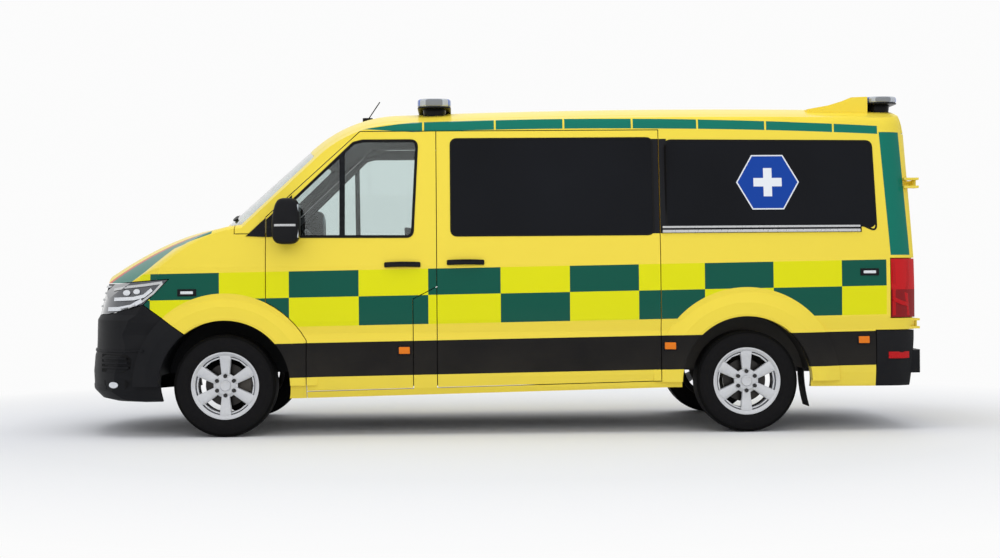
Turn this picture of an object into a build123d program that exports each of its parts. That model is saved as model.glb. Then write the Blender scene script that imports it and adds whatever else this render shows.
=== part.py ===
from build123d import *
from math import asin, cos, degrees, radians, sin, sqrt
import os

# ---------------------------------------------------------------------------
# A light-care ambulance on a medium panel van with a low roof, in millimetres.
# +X points forward, +Y to the van's left, +Z up. The origin is on the floor,
# below the middle of the van's length and width.
# ---------------------------------------------------------------------------

# Driving dimensions of the van.
body_length = 5986
wheelbase = 3640
front_overhang = 1060
track = 1750
half_wall = 1000  # from the centre plane to a side wall at its widest
roof_z = 2345
under_z = 236
panel = 56  # thickness of doors, side walls and roof
gap = 6  # open seam between neighbouring panels
reach = 500  # how far a cutting form runs past the body
sky = 1900  # how far the forms above roof and bonnet rise

nose_x = body_length / 2
front_axle_x = nose_x - front_overhang
rear_axle_x = front_axle_x - wheelbase
rear_face_x = rear_axle_x - 1212
axle_z = 357

# Roof and screen: one crown, swept along the centre line.
crown_r = 3000
screen_angle = 41.6
screen_foot = (front_axle_x + 95, 1476)
screen_run = 877
header_r = 990
roof_rise = 2
roof_arc_r = 60000
roof_turn = 4.5

# Bonnet stations: (ahead of the axle, centre height, edge height, edge y, shoulder y).
bonnet_stations = [(-300, 1500, 1478, 850, 1040), (45, 1483, 1452, 850, 1040),
                   (300, 1443, 1338, 845, 1030), (590, 1335, 1140, 800, 985),
                   (860, 1187, 960, 690, 900), (1120, 990, 740, 560, 760)]
shoulder_drop = 150
shoulder_bulge = (0.72, 0.3)  # middle of the shoulder arc: share of its width and of its drop

# Side wall section: (out from the widest line, height), bottom to top.
wall_section = [(-60, 236), (-60, 262), (-28, 330), (-14, 410), (-6, 520), (-8, 640), (-20, 715), (-4, 800),
                (0, 1000), (-6, 1185), (-26, 1370), (-120, 2130)]
eaves_arc = [(-130, 2190), (-168, 2250)]
wall_front_x = front_axle_x + 150
wall_front_r = 2200
wall_front_turn = 27
wall_rear_x = front_axle_x - 3040
wall_rear_r = 60000

# Lower edge of the sills between the wheels.
sill_line = [(front_axle_x - 600, 266), (rear_axle_x + 500, 318)]

# Nose section at the centre: (out from the tip, height), bottom to top.
nose_section = [(-160, 236), (-60, 262), (-6, 319), (0, 448), (-10, 560), (-23, 600), (-30, 815),
                (-52, 854), (-75, 946), (-108, 1060), (-125, 1180)]
nose_plan_r = 2300
nose_plan_turn = 15
nose_corner_r = 560
nose_corner_turn = 40

# Rear section: (back from the rear face, height), bottom to top.
rear_section = [(-40, 312), (0, 720), (-4, 1200), (-40, 2100), (-75, 2240)]
rear_corner_r = 320
rear_corner_turn = 50
rear_corner_lead = 215  # from the start of the corner to the rear face
wall_rear_turn = degrees(asin((wall_rear_x - rear_face_x - rear_corner_lead) / wall_rear_r))

# Panel seams. Each station is counted from the front axle backwards.
door_front_x = front_axle_x - 287
seam_b_x = front_axle_x - 1475
fuel_post_x = front_axle_x - 1308
seam_c_x = front_axle_x - 3039
door_arc_r = 645
door_foot_x = front_axle_x - 565
door_foot_z = 312
door_top_z = 2127
wing_top_z = 1412
fuel_kink_z = (950, 1035)
pillar_line = (front_axle_x - 155, 1406)  # a point on the seam along the screen pillar
pillar_slope = 0.915
eaves_turn_x = front_axle_x - 1100
header_foot_z = 1900
roof_seam_y = 775
rear_door_y = 822
rear_door_z = 705
rear_door_bend_z = 1190
rear_door_top = (735, 2100)
rear_gap = 10
tail_lamp = (front_axle_x - 4660, 791, 1209)
rear_bumper_x = front_axle_x - 4556
cowl_side = (front_axle_x - 70, 872)
cowl_middle_x = front_axle_x + 112
bonnet_edge = [(300, 862), (480, 852), (720, 835)]  # (ahead of the axle, y)
lamp_y = 540
lamp_top_z = 1072
bumper_seam = [(1160, 846), (850, 856), (566, 923), (254, 702)]
lamp_back = [(384, 1100), (820, lamp_top_z), (1160, lamp_top_z)]

# Windows: outlines in side view (behind the axle, height) and in front view (y, height).
door_window = [(340, 1392), (340, 1512), (898, 2045), (960, 2060), (1342, 2060), (1306, 1385)]
slide_window = [(1578, 1389), (1578, 2069), (2995, 2069), (2995, 1389)]
quarter_window = [(3085, 1440), (3085, 2052), (4552, 2040), (4568, 1398), (4480, 1440)]
screen_window = [(-893, 1440), (-500, 1492), (0, 1512), (500, 1492), (893, 1440), (815, 1960), (400, 2024),
                 (0, 2042), (-400, 2024), (-815, 1960)]
rear_window = [(85, 1400), (760, 1400), (700, 2030), (85, 2030)]
window_corner_r = 45
glass_gap = 0.3
glass_t = 8

# Wheels: 235/60 R17 tyres on seventeen inch rims, and the arches round them.
tyre_r = axle_z
tyre_width = 235
bead_r = 218
flange_r = 235
rim_half = 100
hub_r = 32
running = 0.05  # radial clearance of every pin in its bore
seat_gap = 0.3  # between a moving piece and what it rests on
arch_r = 455
flare_r = 640
flare_out = 22

# Floor and frame.
load_floor_z = 690
cab_floor_z = 540
floor_t = 40
load_floor_y = 960
cab_floor_y = 905
rail_y = 465
rail_width = 70
rail_z = 520
rocker_y = 875
rocker_width = 30
rocker_z = 340
jack_pad = (90, 36, 15)
jack_x = (front_axle_x - 690, front_axle_x - 2900)
cross_beams = (front_axle_x - 2300, front_axle_x - 2950, front_axle_x - 4440)
cross_width = 80
cross_z = 500
house_y = 700
house_t = 13
house_foot_z = 437
firewall_t = 22
firewall_x = front_axle_x - 489
cowl_wall_x = front_axle_x - 118
shelf_z = 848
bulkhead_x = front_axle_x - 1500
bulkhead_t = 30

# Cab: dash section and seat section in side view (behind the axle, height).
dash_section = [(129, 1060), (129, 1400), (330, 1425), (480, 1380), (540, 1260), (470, 1050), (400, 1000),
                (200, 1000)]
dash_half = 870
seat_section = [(890, 700), (880, 850), (1290, 815), (1370, 1490), (1430, 1490), (1455, 1400), (1400, 700)]
seat_y = 450
seat_width = 500
headrest = (90, 270, 150)
steering_center = (front_axle_x - 640, seat_y, 1290)
column_rise = 38
column_r = 32
steering_r = 190
grip_r = 15

# Running gear.
kingpin_y = 790
kingpin_r = 15
arm_z = (232, 258)
subframe_half = 400
engine = (180, 620, 230, 560, 1150)  # ahead from, ahead to, half width, bottom, top
disc_r = 150
disc_t = 25
disc_y = 847
spring_y = 595
spring_seat = (120, 70, 70)
leaf = (1200, 70, 63, 30)  # length, width, height above the axle, thickness
hanger = (40, 130, 580, 80)  # length, width, half spacing, reach above the rail's foot
tank = (front_axle_x - 1960, 240, 760, 320, 330, 40)  # centre x, y, length, width, bottom, corner
silencer = (front_axle_x - 2630, 85, 240)  # centre x, radius, half length
exhaust_front_x = front_axle_x + 250
exhaust_rear_x = front_axle_x - 4700
exhaust_r = 25
exhaust_y = -200
exhaust_z = 470

# Roof and outside: (ahead from, ahead to, half width, bottom, top).
front_bar = (-1582, -1341, 640, 2230, 2384)
rear_bar = (-4819, -4588, 640, 2236, 2384)
fairing = [(-4150, 2200), (-4150, 2292), (-4300, 2318), (-4400, 2348), (-4470, 2376), (-4588, 2380), (-4588, 2200)]
antenna_x = front_axle_x - 953
antenna_foot = (38, 24, 2200, 105)  # half length, half width, bottom and height
whip_foot_z = 2290
whip_top = (front_axle_x - 1045, 0, 2426)
whip_r = 4
step_z = (400, 560)
step_half = 800
step_bow = 14
step_wing = 30
mirror_y = (1035, 1213)
mirror_z = (1345, 1641)

# Small parts.
door_bevel = 13
rear_hinge_x = rear_face_x - 18
rear_hinge_y = rear_door_y + 4
hinge_rows = [(748, rear_door_y), (1742, rear_door_y - 54)]  # (height, y of the door's edge there)
barrel_r = 14
barrel_half = 20
hinge_pin_r = 8
leaf_reach = 30
lug_t = 16
lug_reach = 75
hub_half = 28
column_length = 190
spoke_half = 9
hat_r = 78
hub_end_y = 950
lug_circle_r = 67
lug_hole_r = 8
rim_window = [(84, -15), (182, -59), (193, 0), (182, 59), (84, 15)]  # opening between two spokes
spoke_count = 6
liner_y = 545
liner_wall_t = 5
liner_foot = 70  # above the axle
clip_t = 8
clips = [(-180, 900, 1412, 60, 200, 80), (450, 852, 1215, 60, 80, 240), (470, 900, 1010, 120, 200, 40),
         (410, 930, 812, 60, 160, 100), (960, 300, 846, 240, 60, 80), (-3039, 920, 1300, 80, 120, 60),
         (-1474, 920, 1200, 50, 120, 60), (-2500, 775, 2200, 80, 80, 200), (-4660, 900, 1000, 80, 160, 60),
         (-4556, 900, 600, 80, 160, 60), (-4760, 815, 1300, 60, 60, 60)]


def crown_cutter(inset):
    """Space above the roof and ahead of the screen, for a form drawn in by inset."""
    rise, run = sin(radians(screen_angle)), cos(radians(screen_angle))
    start = (screen_foot[0] + sky * run - inset * rise, screen_foot[1] - sky * rise - inset * run)
    end = (start[0] - (screen_run + sky) * run, start[1] + (screen_run + sky) * rise)
    roof_dir = (-cos(radians(roof_rise)), sin(radians(roof_rise)))
    with BuildLine(Plane.XZ) as path:
        Line(start, end)
        header = JernArc(end, (-run, rise), header_r - inset, screen_angle - roof_rise)
        JernArc(header @ 1, roof_dir, roof_arc_r, roof_turn)
    half = half_wall + reach
    drop = crown_r - sqrt(crown_r**2 - half**2)
    with BuildPart() as cutter:
        with BuildSketch(Plane(origin=path.line @ 0, x_dir=(0, -1, 0), z_dir=path.line % 0)):
            with BuildLine():
                ThreePointArc((-half, -drop), (0, 0), (half, -drop))
                Polyline((half, -drop), (half, sky), (-half, sky), (-half, -drop))
            make_face()
        sweep(path=path.line)
    return cutter.part


def bonnet_cutter(inset):
    """Space above the bonnet and its rounded shoulders, lofted through a few sections."""
    half = half_wall + reach
    with BuildPart() as cutter:
        for ahead, centre_z, edge_z, edge_y, out_y in bonnet_stations:
            top, edge = (0, centre_z - inset), (edge_y - inset / 2, edge_z - inset)
            out = (out_y - inset, edge_z - shoulder_drop - inset)
            bulge = (edge[0] + (out[0] - edge[0]) * shoulder_bulge[0],
                     edge[1] + (out[1] - edge[1]) * shoulder_bulge[1])
            with BuildSketch(Plane(origin=(front_axle_x + ahead, 0, 0), x_dir=(0, 1, 0), z_dir=(1, 0, 0))):
                with BuildLine():
                    ThreePointArc((-edge[0], edge[1]), top, edge)
                    ThreePointArc(edge, bulge, out)
                    Polyline(out, (out[0], 0), (half, 0), (half, sky * 2), (-half, sky * 2), (-half, 0),
                             (-out[0], 0), (-out[0], out[1]))
                    ThreePointArc((-out[0], out[1]), (-bulge[0], bulge[1]), (-edge[0], edge[1]))
                make_face()
        loft()
    return cutter.part


def wall_cutter(inset):
    """Space outside the left wall, its section swept along the wall's plan line."""
    wall_y = half_wall - inset
    turn = radians(wall_front_turn)
    front_r = wall_front_r - inset
    start = (wall_front_x + front_r * sin(turn), wall_y - front_r * (1 - cos(turn)))
    with BuildLine() as path:
        JernArc(start, (-cos(turn), sin(turn)), front_r, wall_front_turn)
        Line((wall_front_x, wall_y), (wall_rear_x, wall_y))
        taper = JernArc((wall_rear_x, wall_y), (-1, 0), wall_rear_r, wall_rear_turn)
        corner = JernArc(taper @ 1, taper % 1, rear_corner_r, rear_corner_turn)
        Line(corner @ 1, (corner @ 1) + (corner % 1) * reach)
    heading = path.line % 0
    foot, top = wall_section[0], eaves_arc[-1]
    with BuildPart() as cutter:
        with BuildSketch(Plane(origin=path.line @ 0, x_dir=heading.cross(Vector(0, 0, 1)), z_dir=-heading)):
            with BuildLine():
                Polyline(wall_section)
                ThreePointArc(wall_section[-1], *eaves_arc)
                Polyline(top, (top[0], top[1] + reach), (reach, top[1] + reach), (reach, 0),
                         (foot[0], 0), foot)
            make_face()
        sweep(path=path.line)
    return cutter.part


def nose_cutter(inset):
    """Space ahead of the nose, its section swept round the nose's plan line."""
    with BuildLine() as path:
        middle = JernArc((nose_x - inset, 0), (0, 1), nose_plan_r - inset, nose_plan_turn)
        corner = JernArc(middle @ 1, middle % 1, nose_corner_r - inset, nose_corner_turn)
        Line(corner @ 1, (corner @ 1) + (corner % 1) * reach)
    foot, top = nose_section[0], nose_section[-1]
    with BuildPart() as cutter:
        with BuildSketch(Plane(origin=(nose_x - inset, 0, 0), x_dir=(1, 0, 0), z_dir=(0, -1, 0))):
            with BuildLine():
                Polyline(nose_section)
                Polyline(top, (top[0], roof_z), (reach, roof_z), (reach, 0), (foot[0], 0), foot)
            make_face()
        sweep(path=path.line)
        mirror(about=Plane.XZ)
    return cutter.part


def body_form(inset):
    """The van's closed form, drawn in evenly by inset on every side but the floor."""
    split_x = front_axle_x + bonnet_stations[0][0]
    with BuildPart() as screen_space:
        add(crown_cutter(inset))
        add(bonnet_cutter(inset), mode=Mode.INTERSECT)
    with BuildPart() as roof_space:
        add(crown_cutter(inset))
        split(bisect_by=Plane.YZ.offset(split_x), keep=Keep.BOTTOM)
    rear = [(rear_face_x + inset - back, z) for back, z in rear_section]
    with BuildPart() as form:
        with BuildSketch(Plane.XZ):
            with BuildLine():
                Polyline(rear)
                Polyline(rear[-1], (rear[-1][0], roof_z + panel), (nose_x, roof_z + panel),
                         (nose_x, under_z), *sill_line, rear[0])
            make_face()
        extrude(amount=half_wall, both=True)
        add(screen_space.part, mode=Mode.SUBTRACT)
        add(roof_space.part, mode=Mode.SUBTRACT)
        add(nose_cutter(inset), mode=Mode.SUBTRACT)
        add(wall_cutter(inset), mode=Mode.SUBTRACT)
        add(wall_cutter(inset).mirror(Plane.XZ), mode=Mode.SUBTRACT)
    return form.part


def seam_wall(plane, points, low, high, width=gap):
    """A thin wall that opens a seam along a line drawn on plane, from low to high off it."""
    with BuildPart() as wall:
        with BuildSketch(plane.offset(low)):
            with BuildLine():
                Polyline(points)
            trace(line_width=width)
        extrude(amount=high - low)
    return wall.part


def wheel_arc(radius, first, last, count=7):
    """Points on a circle about the front axle, angles from straight up towards the rear."""
    turns = [first + (last - first) * step / (count - 1) for step in range(count)]
    return [(front_axle_x - radius * sin(radians(a)), axle_z + radius * cos(radians(a))) for a in turns]


def both_sides(shape):
    """A left-hand shape with its mirror image on the right."""
    with BuildPart() as pair:
        add(shape)
        mirror(about=Plane.XZ)
    return pair.part


def ahead(points):
    """Side-view points given ahead of the front axle, placed on the van."""
    return [(front_axle_x + x, z) for x, z in points]


def behind(points):
    """Side-view points given behind the front axle, placed on the van."""
    return [(front_axle_x - x, z) for x, z in points]


def window_prism(plane, points, low, high, shrink=0):
    """A window's outline with round corners, run through the wall."""
    with BuildPart() as prism:
        with BuildSketch(plane.offset(low)):
            with BuildLine():
                FilletPolyline(points, radius=window_corner_r, close=True)
            make_face()
            if shrink:
                offset(amount=-shrink)
        extrude(amount=high - low)
    return prism.part


def glass_of(panel_solid, prism, inward):
    """The thin outer layer of a panel inside a window outline."""
    with BuildPart() as plug:
        add(panel_solid)
        add(prism, mode=Mode.INTERSECT)
    with BuildPart() as glass:
        add(plug.part)
        add(plug.part.moved(Location(inward)), mode=Mode.SUBTRACT)
    return glass.part


def piece_at(solids, x, y, z):
    """The solid that holds, or comes closest to, a point."""
    return min(solids, key=lambda solid: solid.distance_to(Vertex(x, y, z)))


# --- Seams, shared by both sides ---------------------------------------------------------------
left = Plane(origin=(0, 0, 0), x_dir=(1, 0, 0), z_dir=(0, -1, 0))
front = Plane(origin=(0, 0, 0), x_dir=(0, 1, 0), z_dir=(1, 0, 0))
side_in, side_out = -1100, -560  # the left side, counted along -Y
pillar_low_z = pillar_line[1] + pillar_slope * (pillar_line[0] - door_front_x)
pillar_top_x = pillar_line[0] - (door_top_z - pillar_line[1]) / pillar_slope
sill_slope = (sill_line[1][1] - sill_line[0][1]) / (sill_line[0][0] - sill_line[1][0])
fuel_foot_z, seam_b_foot_z, seam_c_foot_z = (
    door_foot_z + sill_slope * (door_foot_x - x) for x in (fuel_post_x, seam_b_x, seam_c_x))
arc_top = degrees(asin((front_axle_x - door_front_x) / door_arc_r))
arc_foot = degrees(asin((front_axle_x - door_foot_x) / door_arc_r))
door_outline = ([(door_foot_x, under_z - gap)] + wheel_arc(door_arc_r, arc_foot, arc_top)
                + [(door_front_x, pillar_low_z), (pillar_top_x, door_top_z), (seam_b_x, door_top_z),
                   (seam_b_x, fuel_kink_z[1]), (fuel_post_x, fuel_kink_z[0]), (fuel_post_x, fuel_foot_z),
                   (door_foot_x, door_foot_z)])
slide_outline = [(seam_b_x, seam_b_foot_z), (seam_b_x, door_top_z), (seam_c_x, door_top_z),
                 (seam_c_x, seam_c_foot_z), (seam_b_x, seam_b_foot_z)]
roof_line = [(roof_seam_y, roof_z + panel), (roof_seam_y, rear_door_top[1]), rear_door_top]
header_line = [(roof_seam_y, roof_z + panel), (roof_seam_y, header_foot_z)]
wing_seam = [(door_front_x, wing_top_z), (cowl_side[0], wing_top_z)]
cowl_line = [(cowl_side[0], -half_wall)] + [
    (cowl_middle_x - (cowl_middle_x - cowl_side[0]) * (y / cowl_side[1]) ** 2, y)
    for y in [cowl_side[1] * share / 4 for share in range(-4, 5)]] + [(cowl_side[0], half_wall)]
edge_line = [cowl_side] + ahead(bonnet_edge)
rear_outline = [(-rear_door_y, rear_door_z), (rear_door_y, rear_door_z), (rear_door_y, rear_door_bend_z),
                rear_door_top, (-rear_door_top[0], rear_door_top[1]), (-rear_door_y, rear_door_bend_z),
                (-rear_door_y, rear_door_z)]
lamp_x, lamp_low, lamp_high = tail_lamp
rear_bumper_line = [(rear_face_x - reach, rear_door_z), (rear_bumper_x, rear_door_z),
                    (rear_bumper_x, under_z - gap)]
tail_outline = [(rear_face_x - reach, lamp_low), (lamp_x, lamp_low), (lamp_x, lamp_high),
                (rear_face_x - reach, lamp_high)]
bumper_line = ahead(bumper_seam)
headlamp_line = ahead(bumper_seam[2:3] + lamp_back)
grille_line = [(-lamp_y, bumper_seam[0][1]), (-lamp_y, lamp_top_z), (lamp_y, lamp_top_z),
               (lamp_y, bumper_seam[0][1])]

# (plane, line, from, to, width) of every seam on the left side
side_seams = [
    (left, door_outline, side_in, side_out, gap),
    (left, slide_outline, side_in, side_out, gap),
    (front, roof_line, rear_face_x - reach, eaves_turn_x, gap),
    (front, header_line, eaves_turn_x - gap, screen_foot[0], gap),
    (left, wing_seam, side_in, -cowl_side[1] + gap, gap),
    (left, tail_outline, side_in, -rear_door_y + gap / 3, gap),
    (left, rear_bumper_line, side_in, -rear_door_y + gap / 3, gap),
    (left, bumper_line, side_in, gap, gap),
    (left, headlamp_line, side_in, -lamp_y, gap),
    (Plane.XY, edge_line, lamp_top_z + 12, roof_z, gap),
]
# seams that cross the centre plane
middle_seams = [
    (Plane.XY, cowl_line, wing_top_z - gap / 2, roof_z, gap),
    (front, rear_outline, rear_face_x - reach, rear_face_x + panel * 2, gap),
    (front, [(0, rear_door_z), (0, rear_door_top[1])], rear_face_x - reach, rear_face_x + panel * 2, rear_gap),
    (front, grille_line, nose_x - reach, nose_x + gap, gap),
]

outer = body_form(0)
inner = body_form(panel)
with BuildPart() as flares:
    for axle_x, lip_r in ((front_axle_x, flare_r), (rear_axle_x, flare_r + 15)):
        with BuildSketch(Plane(origin=(axle_x, 0, axle_z), x_dir=(1, 0, 0), z_dir=(0, 0, 1))):
            with BuildLine():
                Polyline((arch_r - 20, half_wall - panel), (arch_r - 20, half_wall + flare_out / 2),
                         (arch_r + 15, half_wall + flare_out), (arch_r + 95, half_wall + flare_out - 3),
                         (lip_r, half_wall - 14), (lip_r, half_wall - panel),
                         (arch_r - 20, half_wall - panel))
            make_face()
        revolve(axis=Axis((axle_x, 0, axle_z), (0, -1, 0)), revolution_arc=180)
with BuildPart() as skin:
    add(outer)
    add(both_sides(flares.part))
    add(inner, mode=Mode.SUBTRACT)
    for axle_x in (front_axle_x, rear_axle_x):
        with BuildSketch(Plane(origin=(axle_x, half_wall * 2, axle_z), x_dir=(1, 0, 0), z_dir=(0, -1, 0))):
            Circle(arch_r)
        extrude(amount=half_wall * 4, mode=Mode.SUBTRACT)
    for plane, line, low, high, width in side_seams:
        add(both_sides(seam_wall(plane, line, low, high, width)), mode=Mode.SUBTRACT)
    for plane, line, low, high, width in middle_seams:
        add(seam_wall(plane, line, low, high, width), mode=Mode.SUBTRACT)
solids = skin.part.solids()

# --- Panels and their windows -------------------------------------------------------------------
# (outline, plane, from, to) of each opening on the left side
window_specs = {
    "door": (left, behind(door_window), side_in, side_out),
    "slide": (left, behind(slide_window), side_in, side_out),
    "quarter": (left, behind(quarter_window), side_in, side_out),
    "rear": (front, rear_window, rear_face_x - reach, rear_face_x + reach),
    "screen": (front, screen_window, screen_foot[0] - screen_run - panel, screen_foot[0] + panel),
}
openings = {name: window_prism(*spec) for name, spec in window_specs.items()}
panes = {name: window_prism(*spec, shrink=glass_gap) for name, spec in window_specs.items()}


def finish(name, shape):
    """Label a finished piece and write it out under its node name."""
    shape.label = name
    export_step(shape, f"parts/{name}.step")


def write_pair(stem, shape):
    """Write a left-hand piece and its mirror image as two nodes."""
    finish(f"{stem}_left", shape)
    finish(f"{stem}_right", shape.mirror(Plane.XZ))


def cut_from(solid, opening):
    """A panel with one opening cut through it."""
    with BuildPart() as cut:
        add(solid)
        add(opening, mode=Mode.SUBTRACT)
    return cut.part


os.makedirs("parts", exist_ok=True)

# --- Cab doors: the rear edge is bevelled inside, so that the leaning frame swings clear -----------
lean_foot, lean_top = wall_section[-2], wall_section[-1]
bevel_y = half_wall + lean_foot[0]
bevel_plan = [(seam_b_x, bevel_y - panel / 5), (seam_b_x + gap / 2, bevel_y - panel / 5),
              (seam_b_x + gap / 2 + door_bevel, bevel_y - panel * 1.1), (seam_b_x, bevel_y - panel * 1.1)]
lean = Vector(0, lean_top[0] - lean_foot[0], lean_top[1] - lean_foot[1])
cab_door_skin = piece_at(solids, seam_b_x + 100, half_wall - 20, 1150)
with BuildPart() as cab_door:
    add(cab_door_skin)
    add(openings["door"], mode=Mode.SUBTRACT)
    with BuildSketch(Plane.XY.offset(lean_foot[1])) as bevel:
        with BuildLine():
            Polyline(bevel_plan + bevel_plan[:1])
        make_face()
    extrude(bevel.sketch, amount=lean.length, dir=lean.normalized(), mode=Mode.SUBTRACT)
    extrude(bevel.sketch, amount=fuel_kink_z[1] - lean_foot[1], mode=Mode.SUBTRACT)
write_pair("cab_door", cab_door.part)
write_pair("cab_glass", glass_of(cab_door_skin, panes["door"], (0, -glass_t, 0)))

# --- Rear doors, each with two hinge barrels on an axis outside the skin --------------------------
rear_door_skin = piece_at(solids, rear_face_x + 30, 400, 1000)
with BuildPart() as rear_door:
    add(rear_door_skin)
    add(openings["rear"], mode=Mode.SUBTRACT)
    for z, edge_y in hinge_rows:
        with BuildSketch(Plane.XY.offset(z - barrel_half)):
            with Locations((rear_hinge_x, (edge_y - leaf_reach + rear_hinge_y) / 2)):
                Rectangle(barrel_r * 2, rear_hinge_y - edge_y + leaf_reach)
            with Locations((rear_hinge_x + panel / 2, edge_y - leaf_reach / 2 - gap)):
                Rectangle(panel + barrel_r, leaf_reach)
            with Locations((rear_hinge_x, rear_hinge_y)):
                Circle(barrel_r)
        extrude(amount=barrel_half * 2)
    with BuildSketch(Plane.XY.offset(rear_door_z)):
        with Locations((rear_hinge_x, rear_hinge_y)):
            Circle(hinge_pin_r + running)
    extrude(amount=rear_door_top[1] - rear_door_z, mode=Mode.SUBTRACT)
write_pair("rear_door", rear_door.part)
write_pair("rear_glass", glass_of(rear_door_skin, panes["rear"], (glass_t, 0, 0)))
with BuildPart() as rear_hinges:
    for z, edge_y in hinge_rows:
        for low in (z - barrel_half - seat_gap - lug_t, z + barrel_half + seat_gap):
            with BuildSketch(Plane.XY.offset(low)):
                with Locations((rear_hinge_x, rear_hinge_y)):
                    Circle(barrel_r)
                with Locations((rear_hinge_x + lug_reach / 2, rear_hinge_y + lug_reach / 2)):
                    Rectangle(lug_reach + barrel_r * 2, lug_reach)
            extrude(amount=lug_t)
        with BuildSketch(Plane.XY.offset(z - barrel_half - lug_t)):
            with Locations((rear_hinge_x, rear_hinge_y)):
                Circle(hinge_pin_r)
        extrude(amount=(barrel_half + lug_t) * 2)
    add(outer, mode=Mode.SUBTRACT)
    mirror(about=Plane.XZ)
finish("rear_hinges", rear_hinges.part)

# --- Fixed panels ---------------------------------------------------------------------------------
slide_door = piece_at(solids, seam_c_x + 300, half_wall - 20, 1150)
shell = piece_at(solids, rear_axle_x, half_wall - 20, 1150)
finish("sliding_doors", both_sides(cut_from(slide_door, openings["slide"])))
with BuildPart() as framed_shell:
    add(shell)
    add(both_sides(openings["quarter"]), mode=Mode.SUBTRACT)
    add(openings["screen"], mode=Mode.SUBTRACT)
framed = framed_shell.part.solids()
finish("body_shell", piece_at(framed, rear_axle_x, half_wall - 20, 1150))
finish("roof", piece_at(framed, rear_axle_x, 0, roof_z - 20))
with BuildPart() as side_windows:
    add(glass_of(slide_door, panes["slide"], (0, -glass_t, 0)))
    add(glass_of(shell, panes["quarter"], (0, -glass_t, 0)))
    mirror(about=Plane.XZ)
finish("side_windows", side_windows.part)
screen_foot_line = [(x - gap / 2 - seat_gap, y) for x, y in cowl_line]
with BuildPart() as windscreen:
    add(glass_of(outer, panes["screen"], (-glass_t / sin(radians(screen_angle)), 0, 0)))
    with BuildSketch(Plane.XY.offset(wing_top_z - gap / 2)):
        with BuildLine():
            Polyline(screen_foot_line + [(nose_x, half_wall), (nose_x, -half_wall)] + screen_foot_line[:1])
        make_face()
    extrude(amount=roof_z - wing_top_z, mode=Mode.SUBTRACT)
finish("windscreen", windscreen.part)
finish("front_wings", both_sides(piece_at(solids, front_axle_x, half_wall - 20, 1100)))
finish("bonnet", piece_at(solids, front_axle_x + 400, 0, 1400))
finish("headlamps", both_sides(piece_at(solids, front_axle_x + 800, 800, 960)))
finish("grille", piece_at(solids, nose_x - 60, 0, 960))
finish("front_bumper", piece_at(solids, nose_x - 30, 0, 600))
finish("tail_lamps", both_sides(piece_at(solids, rear_face_x + 100, 930, 1000)))

# --- Rear bumper: the lower rear of the body with a step across it -------------------------------
step_side = [(-nose_x + step_bow, step_half), (rear_face_x - step_wing, step_half + 95),
             (rear_face_x + panel, step_half + 105)]
step_plan = [(x, -y) for x, y in reversed(step_side)] + [(-nose_x, 0)] + step_side
with BuildPart() as rear_bumper:
    with BuildSketch(Plane.XY.offset(step_z[0])):
        with BuildLine():
            Polyline(step_plan[:3])
            ThreePointArc(*step_plan[2:5])
            Polyline(step_plan[4:])
            Line(step_plan[-1], step_plan[0])
        make_face()
    extrude(amount=step_z[1] - step_z[0])
    add(inner, mode=Mode.SUBTRACT)
    add(piece_at(solids, rear_face_x + 20, 0, 650))
finish("rear_bumper", rear_bumper.part)

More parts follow.
